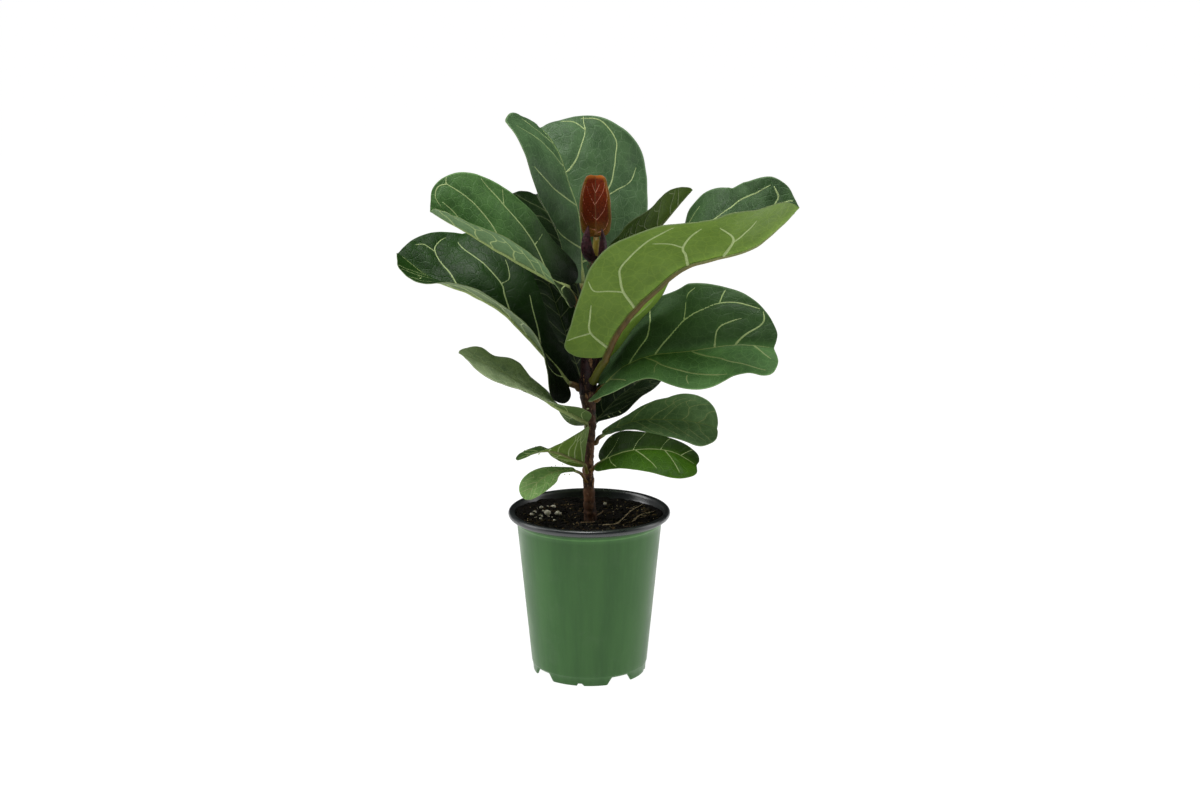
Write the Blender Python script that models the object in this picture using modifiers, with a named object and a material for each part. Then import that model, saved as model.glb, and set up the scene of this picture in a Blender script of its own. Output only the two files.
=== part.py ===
"""A young fiddle leaf fig growing in a six-inch nursery pot.

Metres, +Z up. The origin is on the floor under the centre of the pot, and -Y is the front of the plant.
The leaf tables give lengths in millimetres and angles in degrees.
"""

import math
from dataclasses import dataclass

import bmesh
import bpy
import numpy as np
from mathutils import Vector

MM = 0.001
GAP = 0.0003                    # clearance between two solids that touch on the real plant

# Nursery pot
POT_HEIGHT = 0.1535
RIM_RADIUS = 0.0745
LIP_HIGH = 0.0031               # half the height of the rolled lip
LIP_WIDE = 0.0029               # half its width
WALL = 0.0014
FOOT_RADIUS = 0.0537            # outside of the wall at the floor line
WALL_SLOPE = 0.0972             # metres of radius gained for each metre of height
FLOOR_Z = 0.009                 # underside of the raised floor
FOOT_STEP = 0.0007              # how far the foot ring steps in under the wall
LEDGE_Z = 0.1428                # stacking ledge under the rim
LEDGE_STEP = 0.0008
NECK_FLARE = 0.0016             # how far the neck above the ledge leans out
NOTCH_ANGLES = (-54, 33, 126, 213)
NOTCH_WIDTH = 0.0245
NOTCH_TOP_WIDTH = 0.0145
NOTCH_HEIGHT = 0.007
FOOT_SLOT_WIDTH = 0.005
FOOT_SLOT_HEIGHT = 0.002
DRAIN_RADIUS = 0.0055
DRAIN_CIRCLE = 0.036
CORNER_HEIGHT = 0.003           # inside corner between the floor and the wall
CORNER_INSET = 0.001
STEP_DROP = 0.0006              # height of the small steps moulded into the wall
LIP_INSET = 0.0005              # where the underside of the lip meets the neck
FOOT_THICKNESS = 0.0018
CUTTER_DEPTH = 0.014
CUTTER_INSET = 0.002            # how far inside the foot the notch cutters are centred
OVERCUT = 0.0005                # how far a cutter runs past the surface it cuts
POT_STEPS = 48
MIX_STEPS = 40

# Potting mix
SOIL_Z = 0.1425
SOIL_EDGE_Z = 0.1475            # the mix stands a little higher against the wall
SOIL_FLAT = 0.034               # radius of the level part round the stem
SOCKET_Z = 0.094                # depth to which the stem reaches down into the mix
SOCKET_OVERCUT = 0.004

# Stem: centre line and radius, millimetres
STEM = ((2, 0, 95, 5.0), (2, 0, 130, 6.6), (2, 0, 138, 7.0), (1, 0, 146, 6.2), (0, 0, 165, 5.2),
        (-1, 0, 190, 4.9), (0, 0, 210, 4.6), (1, 0, 228, 4.8), (0, 0, 246, 5.8), (-1, 0, 261, 7.4),
        (0, 0, 284, 7.9), (2, 1, 302, 7.2), (3, 2, 320, 6.3), (4, 3, 342, 5.5), (5, 3, 362, 4.9),
        (6, 3, 389, 4.2))

# Blade outlines from the leaf base to its tip: (part of the length, part of the half width)
PADDLE = ((0, 0), (0, 0.12), (0.04, 0.20), (0.15, 0.23), (0.27, 0.32), (0.38, 0.50), (0.50, 0.76),
          (0.62, 0.95), (0.75, 1.02), (0.86, 0.94), (0.94, 0.72), (0.985, 0.38), (1, 0.12), (1, 0))
CUPPED = ((0, 0), (0, 0.12), (0.04, 0.20), (0.15, 0.24), (0.26, 0.30), (0.34, 0.42), (0.41, 0.66),
          (0.49, 0.90), (0.60, 1.0), (0.72, 1.0), (0.84, 0.84), (0.94, 0.56), (0.99, 0.26), (1, 0.10),
          (1, 0))
SQUARED = ((0, 0), (-0.02, 0.20), (-0.025, 0.44), (0.01, 0.64), (0.08, 0.70), (0.18, 0.66),
           (0.30, 0.62), (0.45, 0.72), (0.58, 0.90), (0.71, 1.0), (0.83, 0.92), (0.92, 0.68),
           (0.975, 0.36), (1, 0.10), (1, 0))
SKIRTED = ((0, 0), (-0.04, 0.12), (-0.055, 0.26), (-0.045, 0.40), (0, 0.52), (0.08, 0.60), (0.20, 0.63),
           (0.32, 0.62), (0.45, 0.72), (0.58, 0.90), (0.71, 1.0), (0.83, 0.92), (0.92, 0.68),
           (0.975, 0.36), (1, 0.10), (1, 0))
BROAD = ((0, 0), (-0.03, 0.14), (-0.03, 0.32), (0.03, 0.52), (0.12, 0.66), (0.24, 0.74), (0.36, 0.80),
         (0.48, 0.88), (0.60, 0.96), (0.72, 1.0), (0.84, 0.95), (0.93, 0.76), (0.985, 0.46), (1, 0.18),
         (1, 0))
NOTCHED = ((0, 0), (-0.03, 0.14), (-0.03, 0.32), (0.03, 0.50), (0.12, 0.60), (0.24, 0.66), (0.36, 0.74),
           (0.48, 0.86), (0.60, 0.96), (0.72, 1.0), (0.84, 0.96), (0.95, 0.80), (1.02, 0.55),
           (1.045, 0.30), (1.02, 0.10), (1, 0))
OVATE = ((0, 0), (-0.06, 0.2), (-0.08, 0.45), (-0.02, 0.75), (0.10, 0.92), (0.25, 0.96), (0.40, 0.84),
         (0.55, 0.60), (0.70, 0.42), (0.82, 0.44), (0.92, 0.38), (0.98, 0.22), (1, 0.08), (1, 0))
WAISTED = ((0, 0), (-0.035, 0.12), (-0.04, 0.26), (0, 0.40), (0.08, 0.52), (0.20, 0.62), (0.32, 0.72),
           (0.45, 0.84), (0.58, 0.94), (0.71, 0.94), (0.84, 0.86), (0.95, 0.73), (1.02, 0.53),
           (1.045, 0.30), (1.02, 0.10), (1, 0))
PEAKED = ((0, 0), (0, 0.12), (0.04, 0.22), (0.12, 0.28), (0.22, 0.35), (0.32, 0.48), (0.42, 0.69),
          (0.50, 0.85), (0.60, 0.99), (0.70, 1.10), (0.80, 1.13), (0.90, 1.02), (0.96, 0.87),
          (1.0, 0.69), (1.0, 0.40), (1.0, 0.18), (1, 0))
TAPERED = ((0, 0), (0.02, 0.25), (0.05, 0.50), (0.09, 0.75), (0.14, 0.93), (0.20, 0.98), (0.28, 0.88),
           (0.38, 0.68), (0.50, 0.45), (0.64, 0.27), (0.75, 0.20), (0.86, 0.24), (0.95, 0.24),
           (1, 0.14), (1, 0))
TUCKED = ((0, 0), (-0.02, 0.16), (-0.01, 0.36), (0.05, 0.55), (0.12, 0.68), (0.22, 0.75), (0.32, 0.72),
          (0.45, 0.60), (0.60, 0.48), (0.75, 0.41), (0.88, 0.37), (0.96, 0.30), (1, 0.15), (1, 0))
DIPPED = ((0, 0), (0, 0.08), (0.05, 0.14), (0.15, 0.20), (0.26, 0.30), (0.35, 0.50), (0.45, 0.70),
          (0.57, 0.80), (0.68, 0.95), (0.78, 1.0), (0.88, 0.90), (0.95, 0.66), (0.985, 0.36), (1, 0.12),
          (1, 0))
BROADEST = ((0, 0), (0, 0.10), (0.05, 0.22), (0.15, 0.34), (0.28, 0.50), (0.40, 0.68), (0.52, 0.86),
            (0.64, 0.97), (0.75, 1.03), (0.86, 1.04), (0.94, 0.90), (1, 0.62), (1.01, 0.30), (1, 0.10),
            (1, 0))
SLIM = ((0, 0), (0, 0.20), (0.03, 0.34), (0.10, 0.40), (0.20, 0.44), (0.32, 0.56), (0.45, 0.74),
        (0.58, 0.92), (0.71, 1.0), (0.83, 0.92), (0.92, 0.68), (0.975, 0.36), (1, 0.10), (1, 0))
CROWNED = ((0, 0), (-0.05, 0.12), (-0.06, 0.32), (0.02, 0.56), (0.14, 0.74), (0.26, 0.86), (0.38, 0.97),
           (0.50, 1.06), (0.60, 1.05), (0.70, 1.0), (0.80, 0.88), (0.90, 0.66), (0.97, 0.44),
           (1.01, 0.24), (1.01, 0.10), (1, 0))
LOBED = ((0, 0), (-0.09, 0.12), (-0.115, 0.30), (-0.085, 0.48), (-0.03, 0.60), (0.04, 0.67),
         (0.13, 0.69), (0.22, 0.69), (0.31, 0.70), (0.40, 0.77), (0.50, 0.86), (0.62, 0.91),
         (0.72, 0.92), (0.80, 0.85), (0.88, 0.74), (0.96, 0.71), (1.01, 0.60), (1.03, 0.35),
         (1.01, 0.12), (1, 0))
ROUND = ((0, 0), (-0.03, 0.14), (-0.02, 0.34), (0.06, 0.54), (0.18, 0.72), (0.32, 0.88), (0.45, 0.98),
         (0.58, 1.09), (0.70, 1.12), (0.80, 1.01), (0.88, 0.80), (0.94, 0.54), (0.98, 0.28), (1, 0.10),
         (1, 0))
BLUNT = ((0, 0), (-0.035, 0.12), (-0.04, 0.28), (0, 0.44), (0.08, 0.60), (0.20, 0.74), (0.32, 0.84),
         (0.45, 0.94), (0.58, 1.0), (0.70, 1.01), (0.80, 0.96), (0.88, 0.89), (0.95, 0.75),
         (1.0, 0.56), (1.02, 0.32), (1.01, 0.12), (1, 0))
SHOULDERED = ((0, 0), (-0.03, 0.16), (-0.045, 0.38), (-0.02, 0.57), (0.04, 0.62), (0.10, 0.65),
              (0.19, 0.77), (0.30, 0.93), (0.41, 1.0), (0.52, 0.96), (0.64, 0.97), (0.75, 1.04),
              (0.84, 1.02), (0.92, 0.86), (0.98, 0.52), (1, 0.2), (1, 0))
PINCHED = ((0, 0), (-0.035, 0.12), (-0.04, 0.24), (0, 0.32), (0.08, 0.35), (0.18, 0.34), (0.27, 0.40),
           (0.36, 0.56), (0.45, 0.78), (0.54, 0.94), (0.66, 1.03), (0.78, 1.03), (0.88, 0.92),
           (0.95, 0.70), (0.99, 0.38), (1, 0.14), (1, 0))
BOAT = ((0, 0), (0, 0.15), (0.02, 0.40), (0.07, 0.68), (0.15, 0.88), (0.27, 0.97), (0.40, 0.96),
        (0.55, 0.90), (0.70, 0.82), (0.84, 0.68), (0.93, 0.46), (0.98, 0.22), (1, 0.08), (1, 0))
HOODED = ((0, 0), (-0.02, 0.30), (0, 0.58), (0.06, 0.78), (0.16, 0.88), (0.30, 0.97), (0.45, 1.0),
          (0.58, 0.97), (0.72, 0.88), (0.86, 0.73), (0.96, 0.60), (1, 0.44), (1.01, 0.24), (1, 0.10),
          (1, 0))
LANCE = ((0, 0), (0, 0.35), (0.04, 0.72), (0.16, 0.95), (0.32, 1.0), (0.50, 0.88), (0.68, 0.62),
         (0.84, 0.36), (0.95, 0.16), (1, 0.05), (1, 0))

BLADE_ROWS = 13
BLADE_COLUMNS = 3               # on each side of the midrib
BLADE_THICKNESS = 0.0009
SPLINE_STEPS = 16
MIDRIB_SAMPLES = 65
RIB_PLACES = (0.0, 0.1, 0.25, 0.42, 0.6, 0.78)
RIB_TAPER = 0.9
RIB_DROP = 0.7                  # how far the rib's centre lies below the blade, in radii
PETIOLE_FOOT = 1.25             # petiole radius at the stem and halfway, against the rib's radius
PETIOLE_MIDDLE = 1.1
PETIOLE_START = 2               # millimetres a petiole runs straight out of the stem
PETIOLE_SEAT = 0.3              # extra millimetres between a petiole's flat end and the round stem
SCALE_ROWS = 8
SCALE_COLUMNS = 2
PERLITE_BUMP = 0.16
PERLITE_FLATTENING = 0.75
PERLITE_REST = 0.4              # millimetres between a loose piece and the mix
STRAND_REST = 0.5
STRAND_KNOTS = 9
STRAND_TAPER = 0.35
WELD = 0.00001


@dataclass
class Leaf:
    """One leaf. Left and right are as seen from above, looking from the leaf base to the tip."""

    attach: float               # height on the stem where the petiole starts
    petiole: tuple              # point between the stem and the blade
    midrib: tuple               # points from the blade base to the tip
    facing: tuple               # directions the upper face turns to, base to tip
    half_width: float
    outline: tuple              # left and right outline
    fold: tuple                 # left and right rise of the blade beside the midrib, base to tip
    curl: tuple = ((-10, -10), (-10, -16))
    wave: tuple = ((2, 2, 0.1), (2, 2, 0.5))
    wide: tuple = (1, 1)
    rib: float = 2.6            # radius of the petiole at the blade base


LEAVES = {
    "leaf_01": Leaf(
        attach=181, petiole=(-7, -17, 191),
        midrib=((-13, -23, 197), (-29, -35, 198.5), (-40, -43, 195), (-50, -50, 187.5), (-58, -53, 178)),
        facing=((0, -0.5, 0.7), (-0.3, -0.5, 0.5)), half_width=14, outline=(CUPPED, PADDLE),
        fold=((10, 10), (10, 10)), wave=((0, 2, 0), (0, 2, 0)), rib=1.1),
    "leaf_02": Leaf(
        attach=190, petiole=(-3, -11, 195),
        midrib=((-5, -17, 201), (-19, -27, 210), (-34, -38, 219), (-49, -50, 220), (-64, -58, 216)),
        facing=((-0.75, 0.62, -0.1), (-0.62, 0.6, 0.4), (-0.15, 0.22, 1), (0, 0.03, 1)), half_width=36,
        outline=(TAPERED, OVATE),
        fold=((0, 5), (80, 10)), wave=((0, 2, 0), (0, 2, 0)), wide=(0.92, 0.46), rib=1.4),
    "leaf_03": Leaf(
        attach=192, petiole=(7, -12, 198),
        midrib=((10, -20, 204), (31, -38, 217), (54, -50, 223), (76, -60, 222), (95, -68, 213)),
        facing=((0, -0.6, 0.7), (0.1, -0.6, 0.6)), half_width=28, outline=(TUCKED, NOTCHED),
        fold=((20, 20), (12, 12)), curl=((-8, -8), (-15, -20)), wave=((1, 2, 0), (1, 2, 0)), rib=1.5),
    "leaf_04": Leaf(
        attach=216, petiole=(8, -1, 220),
        midrib=((12, -4, 226), (39, -8, 238), (64, -12, 241), (91, -14, 240), (116, -15, 234)),
        facing=((0, -0.35, 0.8), (0.1, -0.4, 0.85)), half_width=33, outline=(DIPPED, BROADEST),
        fold=((14, 14), (16, 10)), curl=((-8, -8), (-15, -25)), wave=((1, 2, 0), (1, 2, 0)),
        wide=(1, 0.92), rib=1.6),
    "leaf_05": Leaf(
        attach=232, petiole=(-2.5, -10, 233),
        midrib=((-2, -14, 239), (-31, -25, 258), (-53, -29, 273.5), (-84, -33, 293), (-115, -35, 307.5)),
        facing=((0.2, 0.8, 0.6), (0.2, -0.1, 0.95), (0.2, -0.2, 0.95), (0.2, -0.05, 0.95)),
        half_width=31, outline=(SLIM, SQUARED),
        fold=((20, 10), (20, 12)), curl=((-20, -20), (-20, -20)), wave=((2, 2, 0.1), (3, 3, 0.5)),
        rib=1.8),
    "leaf_06": Leaf(
        attach=240, petiole=(3, 13, 234),
        midrib=((4, 20, 233), (24, 44, 246), (43, 65, 257), (62, 83, 270), (78, 98, 279)),
        facing=((-0.2, -0.4, 0.8), (-0.1, -0.4, 0.85)), half_width=32, outline=(BROAD, BOAT),
        fold=((20, 20), (20, 20)), curl=((-8, -8), (-15, -25)), wide=(1, 0.82), rib=1.8),
    "leaf_07": Leaf(
        attach=258, petiole=(9, -4, 265),
        midrib=((15, -6, 274), (33, -10, 291), (60, -16, 302), (91, -24, 307), (128, -31, 314),
                (164, -35, 312)),
        facing=((-0.6, -0.2, 0.75), (0, -0.57, 0.8), (0, -0.57, 0.8), (0, -0.57, 0.8)), half_width=59,
        outline=(CROWNED, LOBED),
        fold=((8, 24, 28, 24), (16, 12)), curl=((-8, -8), (-20, -20)),
        wave=((2, 2, 0.1), (6, 2, -0.41)), wide=(1, 0.9)),
    "leaf_08": Leaf(
        attach=267, petiole=(-11, -1, 269),
        midrib=((-18, -3, 274), (-38, -4, 300), (-71, 0, 334), (-107, 6, 355), (-142, 12, 367),
                (-172, 18, 389)),
        facing=((0.4, -0.3, 0.8), (0.2, -0.35, 0.85), (0.1, -0.35, 0.85)), half_width=60,
        outline=(SKIRTED, PINCHED),
        fold=((-16, 46, 44, 34, 27), (10, 36, 32, 18)), curl=((-10, -10), (-10, -20))),
    "leaf_09": Leaf(
        attach=276, petiole=(7, -12, 283),
        midrib=((14, -22, 302), (28, -36, 332), (58, -54, 369), (87, -68, 392), (131, -82, 406),
                (157, -87, 423), (177, -90, 444)),
        facing=((-0.5, 0.75, 0.4), (-0.35, 0.45, 0.7), (-0.2, 0, 0.95)), half_width=64,
        outline=(BLUNT, SHOULDERED),
        fold=((29, 24, 37, 73, 64, 60), (30, 30, 30)), wide=(1.05, 1), rib=3.4),
    "leaf_10": Leaf(
        attach=262, petiole=(-3, 14, 264),
        midrib=((-6, 25, 268), (-19, 57, 299), (-33, 90, 333), (-45, 118, 360)),
        facing=((0.3, -0.7, 0.6), (0.3, -0.7, 0.65)), half_width=46, outline=(BROAD, BROAD),
        fold=((22, 22), (22, 22)), curl=((-8, -8), (-15, -25))),
    "leaf_11": Leaf(
        attach=318, petiole=(-6, 22, 331),
        midrib=((-8, 34, 342), (-18, 66, 371), (-33, 100, 401), (-51, 131, 429)),
        facing=((0.3, -0.7, 0.6), (0.3, -0.7, 0.65)), half_width=50, outline=(BROAD, BROAD),
        fold=((22, 22), (22, 22)), curl=((-8, -8), (-15, -25))),
    "leaf_12": Leaf(
        attach=330, petiole=(-10, -8, 344),
        midrib=((-17, -15, 363), (-43, -30, 379), (-73, -42, 398), (-103, -50, 417), (-136, -56, 436)),
        facing=((0.2, -0.4, 0.9), (0.1, -0.4, 0.9)), half_width=57, outline=(BROAD, WAISTED),
        fold=((-14, 42, 45, 42), (38, 42, 44)), curl=((-10, -10), (-14, -20)), wide=(1, 1.03)),
    "leaf_13": Leaf(
        attach=348, petiole=(-3, 18, 353),
        midrib=((-5, 24, 360), (-8, 38, 414), (-20, 54, 457), (-31, 68, 481), (-44, 80, 497)),
        facing=((0.4, -0.85, 0.2), (0.35, -0.85, 0.3)), half_width=74, outline=(PEAKED, ROUND),
        fold=((10, 34, 53, 53), (2, 4)), curl=((-10, -14), (-10, -14)),
        wave=((3, 2, 0.1), (3, 2, 0.5)), wide=(1.08, 1)),
    "leaf_14": Leaf(
        attach=362, petiole=(13, 9, 368),
        midrib=((19, 15, 377), (46, 22, 394), (66, 28, 415), (81, 32, 431), (93, 34, 444)),
        facing=((-0.4, 0.2, 0.9), (-0.3, 0.2, 0.9)), half_width=35, outline=(BOAT, BOAT),
        fold=((50, 50), (60, 50)), curl=((-8, -8), (-15, -25)), wide=(0.7, 0.8), rib=2.0),
    "young_leaf": Leaf(
        attach=389, petiole=(6.5, 4.5, 399),
        midrib=((6.5, 5, 406), (6, 7, 422), (5.5, 9, 440), (6, 10, 459)),
        facing=((0, -0.95, 0.1), (0, -0.95, 0.1)), half_width=16.5, outline=(HOODED, HOODED),
        fold=((12, 18, 16), (12, 18, 16)), curl=((26, 32), (26, 32)), wave=((0, 2, 0), (0, 2, 0)),
        rib=2.8),
}

# The two papery stipules that wrapped the young leaf: midrib, where the hollow face turns, half width
STIPULES = {
    "stipule_left": (((3, -3.5, 384), (-1.5, -6.5, 392), (-2.5, -6.5, 403), (-0.5, -3.5, 416)),
                     (0.3, 0.95, 0.1), 6.0),
    "stipule_right": (((11, -2.5, 385), (13, -4, 392), (13, -3.5, 402), (11.5, -2.5, 413)),
                      (-0.5, 0.85, 0.1), 4.6),
}

# Loose pieces on the mix: position on the surface and size or radius, millimetres
PERLITE = ((-39, 13, 3.4), (-29.5, 15, 3.0), (-45, 27, 2.1), (-33.5, 34, 2.2), (-53, 1, 2.2),
           (14.6, 46, 1.8))
TWIGS = (((-8, -14), (-1, -12.5), (5, -10.5)), ((7, 11), (10, 17), (13, 26)))
TWIG_RADIUS = 0.8
SURFACE_ROOTS = (((12.6, -21.5), (25.4, -15), (34.5, 12), (40.7, 25), (50, 36)),
                 ((40, -11.5), (45, 2.6), (49.6, 8), (57, 11)))
ROOT_RADIUS = 0.9


def spline(points, fractions):
    """Points of a smooth curve through the given points, at fractions of its length."""
    points = np.array(points, float)
    ends = np.vstack([2 * points[0] - points[1], points, 2 * points[-1] - points[-2]])
    dense = []
    for a, b, c, d in zip(ends, ends[1:], ends[2:], ends[3:]):
        for t in np.linspace(0, 1, SPLINE_STEPS, endpoint=False):
            dense.append(0.5 * (2 * b + (c - a) * t + (2 * a - 5 * b + 4 * c - d) * t ** 2
                                + (3 * b - a - 3 * c + d) * t ** 3))
    dense = np.array(dense + [points[-1]])
    run = np.concatenate([[0], np.cumsum(np.linalg.norm(np.diff(dense, axis=0), axis=1))])
    wanted = np.asarray(fractions) * run[-1]
    return np.stack([np.interp(wanted, run, dense[:, axis]) for axis in range(dense.shape[1])], axis=-1)


def unit(vectors):
    return vectors / np.linalg.norm(vectors, axis=-1, keepdims=True)


def along(values, s):
    """A value that runs through evenly spaced values from the blade base to the tip."""
    return np.interp(s, np.linspace(0, 1, len(values)), values)


class Blade:
    """The middle surface of a leaf, bent along its midrib and folded beside it."""

    def __init__(self, leaf):
        self.leaf = leaf
        self.s = np.linspace(0, 1, MIDRIB_SAMPLES)
        self.centre = spline(leaf.midrib, self.s)
        self.length = np.linalg.norm(np.diff(self.centre, axis=0), axis=1).sum()
        self.forward = unit(np.gradient(self.centre, axis=0))
        facing = np.stack([along([f[axis] for f in leaf.facing], self.s) for axis in range(3)], axis=-1)
        facing -= np.sum(facing * self.forward, axis=1, keepdims=True) * self.forward
        self.up = unit(facing)
        self.right = np.cross(self.forward, self.up)

    def at(self, table, s):
        return np.array([np.interp(s, self.s, table[:, axis]) for axis in range(3)])

    def point(self, s, t, side):
        """Point at s along the blade and t from midrib to full half width, on side 0 left or 1 right."""
        leaf = self.leaf
        inside = min(max(s, 0), 1)
        width = leaf.half_width * leaf.wide[side]
        fold = math.radians(along(leaf.fold[side], inside))
        curl = math.radians(along(leaf.curl[side], inside))
        out = width / curl * (math.sin(fold + curl * t) - math.sin(fold))
        rise = width / curl * (math.cos(fold) - math.cos(fold + curl * t))
        height, count, phase = leaf.wave[side]
        rise += height * t * t * math.sin(2 * math.pi * (count * s + phase))
        sign = 1 if side else -1
        centre = self.at(self.centre, inside) + (s - inside) * self.length * self.at(self.forward, inside)
        return centre + sign * out * self.at(self.right, inside) + rise * self.at(self.up, inside)

    def spread(self, u, across):
        """Point of the blade at u along its outline, from -1 at the left margin to +1 at the right."""
        side = 1 if across > 0 else 0
        edge_s, edge_t = spline(self.leaf.outline[side], u)
        middle_s = (1 - math.cos(math.pi * u)) / 2
        share = abs(across)
        return self.point(middle_s + (edge_s - middle_s) * share, edge_t * share, side)


def material(name, colour, roughness, metallic=0.0):
    made = bpy.data.materials.new(name)
    made.use_nodes = True
    shader = made.node_tree.nodes["Principled BSDF"]
    shader.inputs["Base Color"].default_value = (*colour, 1)
    shader.inputs["Roughness"].default_value = roughness
    shader.inputs["Metallic"].default_value = metallic
    return made


def add_object(name, mesh, collection, look=None):
    made = bpy.data.objects.new(name, mesh)
    collection.objects.link(made)
    if look:
        mesh.materials.clear()
        mesh.materials.append(look)
    return made


def add_cutter(name, mesh, collection):
    made = add_object(name, mesh, collection)
    made.hide_render = True
    made.display_type = "WIRE"
    return made


def add_boolean(target, other, operation):
    cut = target.modifiers.new(other.name, "BOOLEAN")
    cut.operation = operation
    cut.solver = "EXACT"
    cut.object = other


def tube_mesh(name, points, radii, resolution):
    """A closed tube along points in metres, with a radius at each point."""
    curve = bpy.data.curves.new(name, "CURVE")
    curve.dimensions = "3D"
    curve.bevel_depth = max(radii)
    curve.bevel_resolution = resolution
    curve.use_fill_caps = True
    path = curve.splines.new("POLY")
    path.points.add(len(points) - 1)
    for knot, place, radius in zip(path.points, points, radii):
        knot.co = (*place, 1)
        knot.radius = radius / max(radii)
    temporary = bpy.data.objects.new(name, curve)
    bpy.context.scene.collection.objects.link(temporary)
    evaluated = temporary.evaluated_get(bpy.context.evaluated_depsgraph_get())
    mesh = bpy.data.meshes.new_from_object(evaluated)
    bpy.data.objects.remove(temporary)
    bpy.data.curves.remove(curve)
    welded = bmesh.new()
    welded.from_mesh(mesh)
    bmesh.ops.remove_doubles(welded, verts=welded.verts, dist=WELD)
    welded.to_mesh(mesh)
    welded.free()
    mesh.shade_smooth()
    mesh.set_sharp_from_angle(angle=math.radians(50))
    return mesh


def turned_mesh(name, profile):
    """An open profile in the XZ plane, ready for a Screw modifier."""
    mesh = bpy.data.meshes.new(name)
    edges = [(k, k + 1) for k in range(len(profile) - 1)]
    mesh.from_pydata([(r, 0, z) for r, z in profile], edges, [])
    return mesh


def add_screw(target, steps):
    turn = target.modifiers.new("Turn", "SCREW")
    turn.steps = steps
    turn.render_steps = steps
    turn.use_merge_vertices = True
    turn.merge_threshold = WELD
    turn.use_smooth_shade = True


def wall_radius(z):
    """Outside radius of the pot wall."""
    return FOOT_RADIUS + WALL_SLOPE * (z - FLOOR_Z)


def block_mesh(name, size, top_width=None):
    """A block centred on X and Y with its base at zero, narrowed along Y at the top if asked."""
    made = bmesh.new()
    bmesh.ops.create_cube(made, size=1)
    for vertex in made.verts:
        width = top_width if top_width and vertex.co.z > 0 else size[1]
        vertex.co = Vector((vertex.co.x * size[0], vertex.co.y * width, (vertex.co.z + 0.5) * size[2]))
    mesh = bpy.data.meshes.new(name)
    made.to_mesh(mesh)
    made.free()
    return mesh


def drain_mesh():
    made = bmesh.new()
    bmesh.ops.create_cone(made, cap_ends=True, segments=16, radius1=DRAIN_RADIUS, radius2=DRAIN_RADIUS,
                          depth=8 * WALL)
    mesh = bpy.data.meshes.new("drain")
    made.to_mesh(mesh)
    made.free()
    return mesh


def polar(radius, turn, z):
    return radius * math.cos(turn), radius * math.sin(turn), z


def build_pot(parts, cutters):
    lip_z = POT_HEIGHT - LIP_HIGH
    lip_r = RIM_RADIUS - LIP_WIDE
    neck_z = lip_z - LIP_HIGH
    neck = wall_radius(neck_z) + NECK_FLARE
    corner_z = FLOOR_Z + CORNER_HEIGHT
    foot = wall_radius(0) - FOOT_STEP
    foot_top = wall_radius(FLOOR_Z) - FOOT_STEP
    profile = [(0, FLOOR_Z + WALL), (wall_radius(FLOOR_Z) - WALL - CORNER_INSET, FLOOR_Z + WALL),
               (wall_radius(corner_z) - WALL, corner_z), (wall_radius(LEDGE_Z) - WALL, LEDGE_Z),
               (neck - WALL, neck_z), (lip_r - LIP_WIDE, POT_HEIGHT - LIP_HIGH / 2)]
    for angle in range(115, -80, -30):
        turn = math.radians(angle)
        profile.append((lip_r + LIP_WIDE * math.cos(turn), lip_z + LIP_HIGH * math.sin(turn)))
    profile += [(neck + LIP_INSET, neck_z), (neck, neck_z - STEP_DROP),
                (wall_radius(LEDGE_Z) + LEDGE_STEP, LEDGE_Z), (wall_radius(LEDGE_Z), LEDGE_Z - STEP_DROP),
                (wall_radius(FLOOR_Z), FLOOR_Z), (foot_top, FLOOR_Z - STEP_DROP),
                (foot, 0), (foot - FOOT_THICKNESS, 0),
                (foot_top - FOOT_THICKNESS, FLOOR_Z), (0, FLOOR_Z)]
    green = material("pot_green", (0.07, 0.15, 0.06), 0.35)
    pot = add_object("pot", turned_mesh("pot", profile), parts, green)
    add_screw(pot, POT_STEPS)
    for number, angle in enumerate(NOTCH_ANGLES, 1):
        turn = math.radians(angle - 90)
        size = (CUTTER_DEPTH, NOTCH_WIDTH, NOTCH_HEIGHT + OVERCUT)
        notch = add_cutter(f"notch_{number}", block_mesh("notch", size, NOTCH_TOP_WIDTH), cutters)
        notch.location = polar(FOOT_RADIUS - CUTTER_INSET, turn, -OVERCUT)
        notch.rotation_euler.z = turn
        add_boolean(pot, notch, "DIFFERENCE")
        half = turn + math.radians(45)
        size = (CUTTER_DEPTH, FOOT_SLOT_WIDTH, FOOT_SLOT_HEIGHT + OVERCUT)
        slot = add_cutter(f"foot_slot_{number}", block_mesh("slot", size), cutters)
        slot.location = polar(FOOT_RADIUS, half, -OVERCUT)
        slot.rotation_euler.z = half
        add_boolean(pot, slot, "DIFFERENCE")
        drain = add_cutter(f"drain_{number}", drain_mesh(), cutters)
        drain.location = polar(DRAIN_CIRCLE, turn, FLOOR_Z)
        add_boolean(pot, drain, "DIFFERENCE")


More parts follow.
